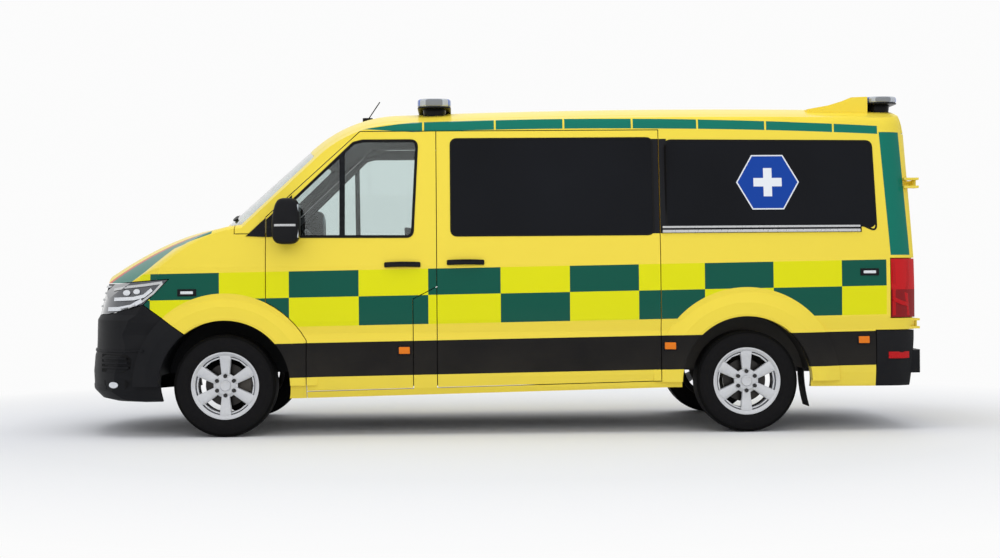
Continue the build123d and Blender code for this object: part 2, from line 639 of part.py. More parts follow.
# --- Floor, rails, sills and rear wheel houses, in one pressing -----------------------------------
cab_floor_x = firewall_x - firewall_t / 2
floor_plan = [(rear_face_x + panel + 10, 780), (rear_face_x + 250, load_floor_y), (bulkhead_x, load_floor_y)]
rocker_ends = (front_axle_x - 3150, cab_floor_x - 70)
with BuildPart() as underbody:
    with BuildSketch(Plane.XY.offset(load_floor_z - floor_t)):
        with BuildLine():
            Polyline(floor_plan + [(x, -y) for x, y in reversed(floor_plan)] + floor_plan[:1])
        make_face()
    extrude(amount=floor_t)
    with BuildSketch(Plane.XY.offset(cab_floor_z - floor_t)):
        with Locations(((bulkhead_x + cab_floor_x) / 2, 0)):
            Rectangle(cab_floor_x - bulkhead_x, cab_floor_y * 2)
        with Locations((bulkhead_x + floor_t / 2, 0)):
            Rectangle(floor_t, cab_floor_y * 2)
    extrude(amount=floor_t)
    with BuildSketch(Plane.XY.offset(cab_floor_z)):
        with Locations((bulkhead_x + floor_t / 2, 0)):
            Rectangle(floor_t, cab_floor_y * 2)
    extrude(amount=load_floor_z - cab_floor_z)
    for rail_rear_x, rail_fore_x, foot_z, head_z in (
            (rear_face_x + panel * 2, bulkhead_x + floor_t, rail_z, load_floor_z - floor_t),
            (bulkhead_x, cab_floor_x, rail_z - floor_t * 2, cab_floor_z - floor_t)):
        with BuildSketch(Plane.XY.offset(foot_z)):
            with Locations(*(((rail_rear_x + rail_fore_x) / 2, side * rail_y) for side in (-1, 1))):
                Rectangle(rail_fore_x - rail_rear_x, rail_width)
        extrude(amount=head_z - foot_z)
    with BuildSketch(Plane.XY.offset(rocker_z)):
        with Locations(*((sum(rocker_ends) / 2, side * rocker_y) for side in (-1, 1))):
            Rectangle(rocker_ends[1] - rocker_ends[0], rocker_width)
    extrude(amount=cab_floor_z - rocker_z)
    with BuildSketch(Plane.XY.offset(rocker_z - jack_pad[2])):
        with Locations(*((x, side * rocker_y) for x in jack_x for side in (-1, 1))):
            Rectangle(jack_pad[0], jack_pad[1])
    extrude(amount=jack_pad[2])
    with BuildSketch(Plane.XY.offset(cross_z)):
        with Locations(*((x, 0) for x in cross_beams)):
            Rectangle(cross_width, load_floor_y * 2)
    extrude(amount=load_floor_z - floor_t - cross_z)
    for side in (-1, 1):
        house = Plane(origin=(rear_axle_x, side * house_y, axle_z), x_dir=(1, 0, 0), z_dir=(0, side, 0))
        with BuildSketch(house):
            Circle(arch_r + house_t)
        extrude(amount=load_floor_y - house_y)
        with BuildSketch(house.offset(house_t)):
            Circle(arch_r)
        extrude(amount=load_floor_y - house_y, mode=Mode.SUBTRACT)
    with BuildSketch(Plane.XY):
        with Locations(*((rear_axle_x, side * (house_y + half_wall) / 2) for side in (-1, 1))):
            Rectangle(arch_r * 2 + panel, half_wall - house_y)
    extrude(amount=house_foot_z, mode=Mode.SUBTRACT)
    add(inner, mode=Mode.INTERSECT)
finish("underbody", underbody.part)

# --- Firewall, stepped over the front wheels, and the bulkhead behind the seats ------------------
with BuildPart() as bulkheads:
    with BuildSketch(Plane.XZ):
        with BuildLine():
            Polyline((firewall_x, cab_floor_z - floor_t), (firewall_x, shelf_z), (cowl_wall_x, shelf_z),
                     (cowl_wall_x, pillar_line[1]))
        trace(line_width=firewall_t)
    extrude(amount=cab_floor_y, both=True)
    with BuildSketch(front.offset(bulkhead_x - bulkhead_t)):
        with Locations((0, (load_floor_z + roof_z) / 2)):
            Rectangle(half_wall * 2, roof_z - load_floor_z)
            RectangleRounded(620, 420, window_corner_r, mode=Mode.SUBTRACT)
    extrude(amount=bulkhead_t)
    add(inner, mode=Mode.INTERSECT)
finish("bulkheads", bulkheads.part)

# --- Cab furniture ---------------------------------------------------------------------------------
wheel_axis = Vector(-cos(radians(column_rise)), 0, sin(radians(column_rise)))
wheel_plane = Plane(origin=steering_center, x_dir=(0, 1, 0), z_dir=wheel_axis)
column_plane = wheel_plane.offset(-hub_half - seat_gap)
with BuildPart() as dashboard:
    with BuildSketch(Plane.XZ):
        with BuildLine():
            Polyline(behind(dash_section + dash_section[:1]))
        make_face()
    extrude(amount=dash_half, both=True)
    with BuildSketch(column_plane):
        Circle(column_r)
    extrude(amount=-column_length)
finish("dashboard", dashboard.part)
with BuildPart(wheel_plane) as steering_wheel:
    Torus(steering_r, grip_r)
    Cylinder(hub_half * 2, hub_half * 2)
    with BuildSketch(wheel_plane.offset(-spoke_half)):
        with PolarLocations(steering_r / 2, 3, start_angle=-90):
            Rectangle(steering_r, spoke_half * 4)
    extrude(amount=spoke_half * 2)
finish("steering_wheel", steering_wheel.part)
with BuildPart() as cab_seats:
    for side in (-1, 1):
        with BuildSketch(Plane.XZ.offset(-side * seat_y - seat_width / 2)):
            with BuildLine():
                Polyline(behind(seat_section + seat_section[:1]))
            make_face()
        extrude(amount=seat_width)
    head_x, head_z = front_axle_x - seat_section[4][0], seat_section[4][1]
    with BuildSketch(Plane.XY.offset(head_z + 30)):
        with Locations(*((head_x, side * seat_y) for side in (-1, 1))):
            Rectangle(headrest[0], headrest[1])
    extrude(amount=headrest[2])
    with BuildSketch(Plane.XY.offset(head_z - 30)):
        with Locations(*((head_x + 20, side * seat_y + post) for side in (-1, 1) for post in (-60, 60))):
            Circle(8)
    extrude(amount=90)
    with BuildSketch(Plane.XY.offset(cab_floor_z)):
        with Locations(*((front_axle_x - 1140, side * seat_y) for side in (-1, 1))):
            Rectangle(400, seat_width - 90)
    extrude(amount=seat_section[0][1] - cab_floor_z)
finish("cab_seats", cab_seats.part)

# --- Engine, front frame and steering knuckles -----------------------------------------------------
low, high, half, bottom, top = engine
with BuildPart() as engine_block:
    with BuildSketch(Plane.XY.offset(bottom)):
        with Locations((front_axle_x + (low + high) / 2, 0)):
            Rectangle(high - low, half * 2)
    extrude(amount=top - bottom)
    with BuildSketch(Plane.XY.offset(bottom)):
        with Locations((front_axle_x + (low + high) / 2, 0)):
            Rectangle(cross_width, (rail_y - rail_width / 2) * 2)
    extrude(amount=cross_width / 2)
finish("engine_block", engine_block.part)
rail_side = [(firewall_t / 2 - 489, rail_z), (900, rail_z), (900, 640), (760, 640), (760, 940), (1160, 940),
             (1160, 960), (700, 960), (700, 640), (firewall_t / 2 - 489, 640)]
arm_mid = sum(arm_z) / 2
with BuildPart() as front_rails:
    for side in (-1, 1):
        with BuildSketch(Plane.XZ.offset(-side * rail_y - rail_width / 2)):
            with BuildLine():
                Polyline(ahead(rail_side + rail_side[:1]))
            make_face()
        extrude(amount=rail_width)
    add(inner, mode=Mode.INTERSECT)
with BuildPart() as front_subframe:
    add(front_rails.part)
    with BuildSketch(Plane.XY.offset(arm_z[0])):
        with Locations((front_axle_x, 0)):
            Rectangle(140, subframe_half * 2)
            SlotOverall(kingpin_y * 2 + 70, 70, rotation=90)
    extrude(amount=arm_z[1] - arm_z[0])
    with BuildSketch(Plane.XY.offset(arm_z[0])):
        with Locations(*((front_axle_x, side * rail_y) for side in (-1, 1))):
            Rectangle(100, rail_width)
    extrude(amount=rail_z - arm_z[0])
    with BuildSketch(Plane.XY.offset(arm_mid)):
        with Locations(*((front_axle_x, side * kingpin_y) for side in (-1, 1))):
            Circle(kingpin_r)
    extrude(amount=60)
finish("front_subframe", front_subframe.part)
side_plane = Plane(origin=(front_axle_x, 0, axle_z), x_dir=(1, 0, 0), z_dir=(0, 1, 0))
with BuildPart() as knuckle:
    with BuildSketch(Plane.XY.offset(arm_z[1] + seat_gap)):
        with Locations((front_axle_x, kingpin_y)):
            Rectangle(80, 50)
    extrude(amount=axle_z + 90 - arm_z[1])
    with BuildSketch(side_plane.offset(kingpin_y)):
        Circle(38)
    extrude(amount=disc_y + 60 - kingpin_y)
    with BuildSketch(side_plane.offset(kingpin_y)):
        Circle(hub_r)
    extrude(amount=hub_end_y - kingpin_y)
    with BuildSketch(side_plane.offset(kingpin_y - 20)):
        with Locations((-95, 0)):
            Rectangle(150, 90)
    extrude(amount=disc_y + 36 - kingpin_y + 20)
    with BuildSketch(side_plane.offset(disc_y - disc_t / 2 - gap)):
        Circle(disc_r + gap)
        Circle(38, mode=Mode.SUBTRACT)
    extrude(amount=disc_t + gap * 2, mode=Mode.SUBTRACT)
    with BuildSketch(side_plane.offset(disc_y - disc_t / 2 - gap)):
        Circle(hat_r + gap)
        Circle(38, mode=Mode.SUBTRACT)
    extrude(amount=disc_t + gap * 2 + 100, mode=Mode.SUBTRACT)
    with BuildSketch(Plane.XY.offset(arm_z[0])):
        with Locations((front_axle_x, kingpin_y)):
            Circle(kingpin_r + running)
    extrude(amount=arm_mid + 60 + seat_gap - arm_z[0], mode=Mode.SUBTRACT)
write_pair("knuckle", knuckle.part)

# --- Wheels: (out from the wheel's middle, radius) profiles turned about the axle ------------------
half_track = track / 2
barrel_out = [(-rim_half, flange_r), (-92, flange_r), (-90, bead_r), (-60, bead_r - 2), (-45, 198), (30, 198),
              (60, bead_r - 2), (90, bead_r), (92, flange_r), (rim_half, flange_r)]
barrel_in = [(rim_half, flange_r - 9), (88, bead_r - 10), (64, bead_r - 12), (32, 189), (-47, 189),
             (-62, bead_r - 12), (-88, bead_r - 10), (-rim_half, flange_r - 9)]
disc_section = [(40, hub_r + running), (78, hub_r + running), (78, 60), (64, 90), (70, 200), (46, 200),
                (40, 90), (40, hat_r), (disc_y - half_track + disc_t / 2, hat_r),
                (disc_y - half_track + disc_t / 2, disc_r), (disc_y - half_track - disc_t / 2, disc_r),
                (disc_y - half_track - disc_t / 2, hat_r - 10), (32, hat_r - 10), (40, 55)]
tyre_half = tyre_width / 2
for axle_name, axle_x in (("front", front_axle_x), ("rear", rear_axle_x)):
    section = Plane(origin=(axle_x, half_track, axle_z), x_dir=(0, 1, 0), z_dir=(1, 0, 0))
    axis = Axis((axle_x, 0, axle_z), (0, 1, 0))
    face = Plane(origin=(axle_x, half_track, axle_z), x_dir=(1, 0, 0), z_dir=(0, 1, 0))
    with BuildPart() as rim:
        with BuildSketch(section):
            with BuildLine():
                Polyline(barrel_out + barrel_in + barrel_out[:1])
            make_face()
            with BuildLine():
                Polyline(disc_section + disc_section[:1])
            make_face()
        revolve(axis=axis)
        with BuildSketch(face.offset(36)):
            with PolarLocations(0, spoke_count):
                Polygon(*rim_window, align=None)
        extrude(amount=rim_half, mode=Mode.SUBTRACT)
        with BuildSketch(face.offset(36)):
            with PolarLocations(lug_circle_r, spoke_count, start_angle=180 / spoke_count):
                Circle(lug_hole_r)
        extrude(amount=rim_half, mode=Mode.SUBTRACT)
    write_pair(f"rim_{axle_name}", rim.part)
    with BuildPart() as tyre:
        with BuildSketch(section):
            with BuildLine():
                Polyline((-91.5, 236), (-89.5, bead_r + 0.5), (-78, bead_r + 0.5), (-78, 240))
                ThreePointArc((-78, 240), (-102, 290), (-86, 336))
                ThreePointArc((-86, 336), (0, 343), (86, 336))
                ThreePointArc((86, 336), (102, 290), (78, 240))
                Polyline((78, 240), (78, bead_r + 0.5), (89.5, bead_r + 0.5), (91.5, 236), (103, 239))
                ThreePointArc((103, 239), (tyre_half, 290), (104, 338))
                ThreePointArc((104, 338), (99, 350), (86, tyre_r - 3))
                ThreePointArc((86, tyre_r - 3), (0, tyre_r), (-86, tyre_r - 3))
                ThreePointArc((-86, tyre_r - 3), (-99, 350), (-104, 338))
                ThreePointArc((-104, 338), (-tyre_half, 290), (-103, 239))
                Line((-103, 239), (-91.5, 236))
            make_face()
        revolve(axis=axis)
    write_pair(f"tyre_{axle_name}", tyre.part)

# --- Rear axle on leaf springs, tank, exhaust and arch liners --------------------------------------
axle_tubes = [(55, house_y + 30), (38, disc_y + 60), (hub_r, hub_end_y), (140, 90)]  # (radius, half length)
rear_side = Plane(origin=(rear_axle_x, 0, axle_z), x_dir=(1, 0, 0), z_dir=(0, -1, 0))
with BuildPart() as rear_axle:
    for radius, half in axle_tubes:
        with BuildSketch(rear_side):
            Circle(radius)
        extrude(amount=half, both=True)
    with BuildSketch(Plane.XY.offset(axle_z)):
        with Locations(*((rear_axle_x, side * spring_y) for side in (-1, 1))):
            Rectangle(spring_seat[0], spring_seat[1])
    extrude(amount=spring_seat[2])
    with BuildSketch(Plane.XY.offset(axle_z + leaf[2])):
        with Locations(*((rear_axle_x, side * spring_y) for side in (-1, 1))):
            Rectangle(leaf[0], leaf[1])
    extrude(amount=leaf[3])
    with BuildSketch(Plane.XY.offset(axle_z + leaf[2])):
        with Locations(*((rear_axle_x + end * hanger[2], side * (rail_y + (rail_width + hanger[1]) / 2))
                         for side in (-1, 1) for end in (-1, 1))):
            Rectangle(hanger[0], hanger[1])
    extrude(amount=rail_z + hanger[3] - axle_z - leaf[2])
finish("rear_axle", rear_axle.part)
with BuildPart() as fuel_tank:
    with BuildSketch(Plane.XY.offset(tank[4])):
        with Locations(tank[:2]):
            RectangleRounded(tank[2], tank[3], tank[5])
    extrude(amount=cross_z - tank[4])
finish("fuel_tank", fuel_tank.part)
with BuildPart() as exhaust:
    with BuildLine() as pipe:
        FilletPolyline((exhaust_front_x, exhaust_y, engine[3]), (exhaust_front_x, exhaust_y, exhaust_z),
                       (exhaust_rear_x, exhaust_y, exhaust_z), radius=exhaust_r * 2.4)
    with BuildSketch(Plane(origin=pipe.line @ 0, z_dir=pipe.line % 0)):
        Circle(exhaust_r)
    sweep(path=pipe.line)
    with BuildSketch(Plane(origin=(silencer[0], exhaust_y, exhaust_z), z_dir=(1, 0, 0))):
        Circle(silencer[1])
    extrude(amount=silencer[2], both=True)
finish("exhaust", exhaust.part)
with BuildPart() as wheel_liners:
    for side in (-1, 1):
        house = Plane(origin=(front_axle_x, side * liner_y, axle_z), x_dir=(1, 0, 0), z_dir=(0, side, 0))
        with BuildSketch(house):
            Circle(arch_r + house_t)
            Circle(arch_r + gap, mode=Mode.SUBTRACT)
        extrude(amount=half_wall - liner_y)
        with BuildSketch(house):
            Circle(arch_r + house_t)
        extrude(amount=liner_wall_t)
    split(bisect_by=Plane.XY.offset(axle_z + liner_foot), keep=Keep.TOP)
    add(inner, mode=Mode.INTERSECT)
finish("wheel_liners", wheel_liners.part)

# --- On the roof -----------------------------------------------------------------------------------
with BuildPart() as light_bars:
    for back, fore, half, bottom, top in (front_bar, rear_bar):
        with BuildSketch(Plane.XY.offset(bottom)):
            with Locations((front_axle_x + (back + fore) / 2, 0)):
                RectangleRounded(fore - back, half * 2, 90)
        extrude(amount=top - bottom)
    add(outer, mode=Mode.SUBTRACT)
finish("light_bars", light_bars.part)
with BuildPart() as roof_fairing:
    with BuildSketch(Plane.XZ):
        with BuildLine():
            Polyline(ahead(fairing + fairing[:1]))
        make_face()
    extrude(amount=rear_bar[2], both=True)
    add(outer, mode=Mode.SUBTRACT)
finish("roof_fairing", roof_fairing.part)
whip = Vector(*whip_top) - Vector(antenna_x, 0, whip_foot_z)
with BuildPart() as antenna:
    with BuildSketch(Plane.XY.offset(antenna_foot[2])):
        with Locations((antenna_x, 0)):
            Ellipse(antenna_foot[0], antenna_foot[1])
    extrude(amount=antenna_foot[3])
    with BuildSketch(Plane(origin=(antenna_x, 0, whip_foot_z), z_dir=whip.normalized())):
        Circle(whip_r)
    extrude(amount=whip.length)
    add(outer, mode=Mode.SUBTRACT)
finish("antenna", antenna.part)

# --- Door mirrors ----------------------------------------------------------------------------------
with BuildPart() as mirror_housing:
    with BuildSketch(Plane.XY.offset(mirror_z[0])):
        with Locations((front_axle_x - 445, (mirror_y[0] + mirror_y[1]) / 2)):
            RectangleRounded(180, mirror_y[1] - mirror_y[0], 50)
    extrude(amount=mirror_z[1] - mirror_z[0])
    fillet(mirror_housing.faces().filter_by(Axis.Z).edges(), radius=20)
    with BuildSketch(Plane.XY.offset(mirror_z[0] + 30)):
        with Locations((front_axle_x - 440, (800 + mirror_y[0] + 20) / 2)):
            Rectangle(80, mirror_y[0] + 20 - 800)
    extrude(amount=45)
    add(outer, mode=Mode.SUBTRACT)
write_pair("mirror", mirror_housing.part)

# --- Clips and strikers behind the seams, (ahead of the front axle, y, z, length, width, height) ----
lining_out, lining_in = body_form(panel + seat_gap), body_form(panel + seat_gap + clip_t)
with BuildPart() as panel_clips:
    for forward, y, z, length, width, height in clips:
        with BuildSketch(Plane.XY.offset(z - height / 2)):
            with Locations((front_axle_x + forward, y)):
                Rectangle(length, width)
        extrude(amount=height)
    add(lining_out, mode=Mode.INTERSECT)
    add(lining_in, mode=Mode.SUBTRACT)
    mirror(about=Plane.XZ)
finish("panel_clips", panel_clips.part)
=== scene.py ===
import bpy
import math
from mathutils import Matrix, Vector
from mathutils.bvhtree import BVHTree


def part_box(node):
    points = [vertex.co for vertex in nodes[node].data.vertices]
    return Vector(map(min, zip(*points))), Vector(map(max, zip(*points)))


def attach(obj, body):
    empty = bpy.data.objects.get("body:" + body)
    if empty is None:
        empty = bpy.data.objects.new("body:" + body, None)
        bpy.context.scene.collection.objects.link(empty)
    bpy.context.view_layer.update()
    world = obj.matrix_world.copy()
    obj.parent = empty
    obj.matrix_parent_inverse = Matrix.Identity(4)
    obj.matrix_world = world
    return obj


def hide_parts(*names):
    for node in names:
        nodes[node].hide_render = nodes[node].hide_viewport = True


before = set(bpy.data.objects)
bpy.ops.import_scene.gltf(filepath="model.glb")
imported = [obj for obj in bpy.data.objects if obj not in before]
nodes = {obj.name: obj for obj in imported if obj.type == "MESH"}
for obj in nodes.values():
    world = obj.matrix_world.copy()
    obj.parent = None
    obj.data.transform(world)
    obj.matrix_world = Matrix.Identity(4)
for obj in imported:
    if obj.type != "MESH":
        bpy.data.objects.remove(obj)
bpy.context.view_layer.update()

# ---------------------------------------------------------------------------
# Studio: a pale floor and backdrop in one, soft light from two large panels
# and the sky, and a long lens well off the van's left side.
# ---------------------------------------------------------------------------
front_axle_x = 1.933
rear_axle_x = -1.707
axle_z = 0.357
half_track = 0.875
scene = bpy.context.scene
scene.view_settings.view_transform = "Standard"
camera_place = Vector((front_axle_x - 1.601, 12.493, 1.089))
camera_yaw = 0.0273
camera_pitch = -0.0004
camera_roll = -0.0079
focal_px = 1652
frame_px = 1000
backdrop_white = 0.97
side = Vector((-math.cos(camera_yaw), math.sin(camera_yaw), 0))
ahead = Vector((-math.sin(camera_yaw), -math.cos(camera_yaw), 0))
tilted_ahead = ahead * math.cos(camera_pitch) + Vector((0, 0, math.sin(camera_pitch)))
tilted_up = Vector((0, 0, math.cos(camera_pitch))) - ahead * math.sin(camera_pitch)
right = side * math.cos(camera_roll) + tilted_up * math.sin(camera_roll)
up = tilted_up * math.cos(camera_roll) - side * math.sin(camera_roll)
lens = bpy.data.cameras.new("camera")
lens.sensor_width = 36
lens.lens = focal_px / frame_px * lens.sensor_width
camera = bpy.data.objects.new("camera", lens)
facing_back = Matrix((right, up, -tilted_ahead)).transposed().to_4x4()
camera.matrix_world = Matrix.Translation(camera_place) @ facing_back
scene.collection.objects.link(camera)
scene.camera = camera

world = bpy.data.worlds.new("studio")
scene.world = world
world.use_nodes = True
sky = world.node_tree


def seen_directly(tree):
    """1 for the rays that show the surroundings themselves: camera, mirror and clear glass rays."""
    rays = tree.nodes.new("ShaderNodeLightPath")
    total = rays.outputs["Is Camera Ray"]
    for label in ("Is Glossy Ray", "Is Transmission Ray"):
        node = tree.nodes.new("ShaderNodeMath")
        node.operation = "MAXIMUM"
        tree.links.new(total, node.inputs[0])
        tree.links.new(rays.outputs[label], node.inputs[1])
        total = node.outputs[0]
    return total


sky_light = sky.nodes["Background"]
sky_light.inputs["Color"].default_value = (0.9, 0.93, 1, 1)
sky_light.inputs["Strength"].default_value = 0.62
sky_white = sky.nodes.new("ShaderNodeBackground")
sky_white.inputs["Color"].default_value = (1, 1, 1, 1)
sky_white.inputs["Strength"].default_value = backdrop_white
sky_mix = sky.nodes.new("ShaderNodeMixShader")
sky.links.new(seen_directly(sky), sky_mix.inputs[0])
sky.links.new(sky_light.outputs[0], sky_mix.inputs[1])
sky.links.new(sky_white.outputs[0], sky_mix.inputs[2])
sky.links.new(sky_mix.outputs[0], sky.nodes["World Output"].inputs["Surface"])


def add_lamp(name, place, target, size, watts):
    """A rectangular soft panel that faces a point on the van."""
    lamp = bpy.data.lights.new(name, "AREA")
    lamp.shape = "RECTANGLE"
    lamp.size, lamp.size_y = size
    lamp.energy = watts
    holder = bpy.data.objects.new(name, lamp)
    holder.location = place
    holder.visible_glossy = False
    holder.rotation_euler = (Vector(target) - Vector(place)).to_track_quat("-Z", "Y").to_euler()
    scene.collection.objects.link(holder)


add_lamp("overhead_panel", (0, 1.5, 7.5), (0, 0.4, 1), (9, 5), 230)
add_lamp("side_panel", (0.5, 10, 5), (0, 0, 1), (12, 5), 300)
add_lamp("far_panel", (-3, -9, 5), (0, 0, 1), (9, 4), 300)

bpy.ops.mesh.primitive_plane_add(size=60, location=(0, 0, 0))
floor = bpy.context.object
floor.name = "floor"
floor_finish = bpy.data.materials.new("studio_floor")
floor_finish.use_nodes = True
graph = floor_finish.node_tree
shader = graph.nodes["Principled BSDF"]
shader.inputs["Base Color"].default_value = (0.86, 0.86, 0.86, 1)
shader.inputs["Roughness"].default_value = 0.9
floor_place = graph.nodes.new("ShaderNodeTexCoord")
floor_distance = graph.nodes.new("ShaderNodeVectorMath")
floor_distance.operation = "LENGTH"
graph.links.new(floor_place.outputs["Object"], floor_distance.inputs[0])
far_off = graph.nodes.new("ShaderNodeMapRange")
far_off.inputs["From Min"].default_value = 3.6
far_off.inputs["From Max"].default_value = 6.0
graph.links.new(floor_distance.outputs["Value"], far_off.inputs["Value"])
fade = graph.nodes.new("ShaderNodeMath")
fade.operation = "MULTIPLY"
graph.links.new(far_off.outputs["Result"], fade.inputs[0])
graph.links.new(seen_directly(graph), fade.inputs[1])
floor_white = graph.nodes.new("ShaderNodeEmission")
floor_white.inputs["Strength"].default_value = backdrop_white
floor_mix = graph.nodes.new("ShaderNodeMixShader")
graph.links.new(fade.outputs[0], floor_mix.inputs[0])
graph.links.new(shader.outputs[0], floor_mix.inputs[1])
graph.links.new(floor_white.outputs[0], floor_mix.inputs[2])
graph.links.new(floor_mix.outputs[0], graph.nodes["Material Output"].inputs["Surface"])
floor.data.materials.append(floor_finish)

# ---------------------------------------------------------------------------
# Painted sheet steel with its livery: yellow enamel under two rows of yellow
# and green film, a green roof line, corner stripes and bonnet edges, and a
# plastic band low down. The film is stuck on, so it is set by height and length.
# ---------------------------------------------------------------------------


def linear(red, green, blue):
    """A colour given in 0 to 255 display values, as the linear values that a shader takes."""
    shares = (value / 255 for value in (red, green, blue))
    return tuple(((v + 0.055) / 1.055) ** 2.4 if v > 10 / 255 else v / 12.92 for v in shares) + (1,)


def math_node(tree, operation, *values):
    """One Math node; each value is a Field or a number."""
    node = tree.nodes.new("ShaderNodeMath")
    node.operation = operation
    for socket, value in zip(node.inputs, values):
        if isinstance(value, Field):
            tree.links.new(value.socket, socket)
        else:
            socket.default_value = value
    return Field(tree, node.outputs[0])


class Field:
    """A value that varies over a surface. A mask is a field that is 1 inside and 0 outside."""

    def __init__(self, tree, socket):
        self.tree, self.socket = tree, socket

    def math(self, operation, *values):
        return math_node(self.tree, operation, self, *values)

    def __rsub__(self, other):
        return math_node(self.tree, "SUBTRACT", other, self)

    def at_least(self, floor_value):
        return self.math("MAXIMUM", floor_value)

    def between(self, low, high):
        return (self > low) & (self < high)

    def feed(self, socket):
        self.tree.links.new(self.socket, socket)


# each sign between fields, and abs(), adds the Math node that does it; & and | join masks
for sign, operation in (("add", "ADD"), ("sub", "SUBTRACT"), ("mul", "MULTIPLY"), ("truediv", "DIVIDE"),
                        ("pow", "POWER"), ("abs", "ABSOLUTE"), ("lt", "LESS_THAN"), ("gt", "GREATER_THAN"),
                        ("and", "MULTIPLY"), ("or", "MAXIMUM")):
    setattr(Field, f"__{sign}__", lambda self, *values, operation=operation: self.math(operation, *values))


def over(below, mask, above):
    """Colour above laid over colour below where the mask is 1."""
    node = mask.tree.nodes.new("ShaderNodeMix")
    node.data_type = "RGBA"
    mask.feed(node.inputs["Factor"])
    for socket, value in ((node.inputs[6], below), (node.inputs[7], above)):
        if isinstance(value, Field):
            value.feed(socket)
        else:
            socket.default_value = value
    return Field(mask.tree, node.outputs[2])


def object_place(tree):
    """The object coordinates as a socket, and as three fields."""
    place = tree.nodes.new("ShaderNodeTexCoord").outputs["Object"]
    axes = tree.nodes.new("ShaderNodeSeparateXYZ")
    tree.links.new(place, axes.inputs[0])
    return place, *(Field(tree, socket) for socket in axes.outputs)


def noise(tree, place, scale, detail=2.0):
    """A soft random value over the surface."""
    node = tree.nodes.new("ShaderNodeTexNoise")
    node.inputs["Scale"].default_value = scale
    node.inputs["Detail"].default_value = detail
    tree.links.new(place, node.inputs["Vector"])
    return Field(tree, node.outputs["Fac"])


def new_group(name, sockets_in, sockets_out):
    """An empty shader node group with named sockets, and its two ends."""
    group = bpy.data.node_groups.new(name, "ShaderNodeTree")
    for label, value in sockets_in:
        socket = group.interface.new_socket(label, in_out="INPUT", socket_type="NodeSocketFloat")
        socket.default_value = value
    for label, kind in sockets_out:
        group.interface.new_socket(label, in_out="OUTPUT", socket_type=kind)
    return group, group.nodes.new("NodeGroupInput"), group.nodes.new("NodeGroupOutput")


# the film: colour of the panel, and where it is bare plastic
livery, livery_in, livery_out = new_group(
    "livery", [("Edge Dirt", 0.15)],
    [("Color", "NodeSocketColor"), ("Plastic", "NodeSocketFloat"), ("Grain", "NodeSocketFloat")])
place, x, y, height = object_place(livery)
facing = livery.nodes.new("ShaderNodeSeparateXYZ")
livery.links.new(place.node.outputs["Normal"], facing.inputs[0])
_, facing_y, facing_z = (Field(livery, socket) for socket in facing.outputs)
along = x - front_axle_x
out_y = abs(y)
outward = y.math("SIGN") * facing_y
on_side = outward > 0.25
level = height + along * 0.0125
body_yellow = linear(243, 218, 72)
film_yellow = linear(226, 224, 8)
film_green = linear(0, 82, 66)
stripe_green = linear(4, 114, 96)
edge_red = linear(206, 66, 48)
enamel_black = linear(17, 18, 23)
plastic_black = linear(13, 13, 16)
trim_grey = linear(62, 64, 67)
road_dirt = linear(150, 140, 120)
block_pitch = 0.483
block_start = -0.449
door_block_shift = -0.021
rear_wheel_along = rear_axle_x - front_axle_x
on_slide_door = along.between(-3.036, -1.478)
columns = (on_slide_door * door_block_shift + block_start - along) / block_pitch
odd_column = columns.math("FLOORED_MODULO", 2.0) > 1.0
upper_row = level.between(0.960, 1.143)
lower_row = level.between(0.758, 0.960)
from_front, from_rear = (((along - wheel) ** 2.0 + (height - axle_z) ** 2.0).math("SQRT")
                         for wheel in (0.0, rear_wheel_along))
clear_of_arches = (from_front > 0.642) & (from_rear > 0.657)
in_blocks = on_side & clear_of_arches & along.between(-4.63, 0.6) & (upper_row | lower_row)
green_block = abs(odd_column - upper_row)
color = over(body_yellow, in_blocks, film_yellow)
color = over(color, in_blocks & green_block, film_green)

# the line under the roof: a long shallow arch with thin breaks at the block columns
line_front = -0.96
from_peak = along + 3.06
line_middle = from_peak * 0.01347 + 2.171 + abs(from_peak) ** 2.0 * -0.01275
line_taper = ((line_front - along) / 0.35).math("MINIMUM", 1.0)
line_half = (from_peak.math("MINIMUM", 0.0) * 0.004 + 0.035) * line_taper
in_line = abs(height - line_middle) < line_half
in_break = (columns + 0.06).math("PINGPONG", 0.5) < 0.013
roof_line = in_line & on_side & along.between(-4.60, line_front) & (1.0 - in_break)
color = over(color, roof_line, stripe_green)

# the rear corner stripe leans forward at its top
corner = along * -1.0 - 4.61 - (2.11 - height) * 0.06
corner_stripe = corner.between(0.0, 0.150) & height.between(1.232, 2.105) & (out_y > 0.76)
color = over(color, corner_stripe, stripe_green)

# the bonnet's green edge runs to a point at the screen and is lined in red on its inner side
film_edge = along * -0.80 + 0.845 + along.at_least(0.0) ** 2.0 * 0.40
film_foot = (along - 0.09).at_least(0.0) * -0.33 + 1.415 + (along - 0.383).at_least(0.0) * -0.50
on_bonnet = (along > 0.09) & (height > film_foot)
color = over(color, on_bonnet & out_y.between(film_edge - 0.055, film_edge), edge_red)
color = over(color, on_bonnet & (out_y > film_edge), stripe_green)

# black enamel between the side glasses, the plastic band between the arches, and grey trim on the inner faces
pillar_enamel = on_side & along.between(-3.095, -2.985) & height.between(1.395, 2.063)
color = over(color, pillar_enamel, enamel_black)
band = level.between(0.405, 0.643) & (out_y > 0.93) & along.between(-4.60, 0.6)
color = over(color, band, plastic_black)
inner_face = (outward < -0.25) | ((facing_z < -0.4) & (height > 1.25))
color = over(color, inner_face, trim_grey)
low_dirt = noise(livery, place, 3.0, 4.0) * Field(livery, livery_in.outputs["Edge Dirt"])
color = over(color, low_dirt * ((0.9 - height) / 0.9).at_least(0.0), road_dirt)
color.feed(livery_out.inputs["Color"])
(band | inner_face).feed(livery_out.inputs["Plastic"])
noise(livery, place, 900.0).feed(livery_out.inputs["Grain"])


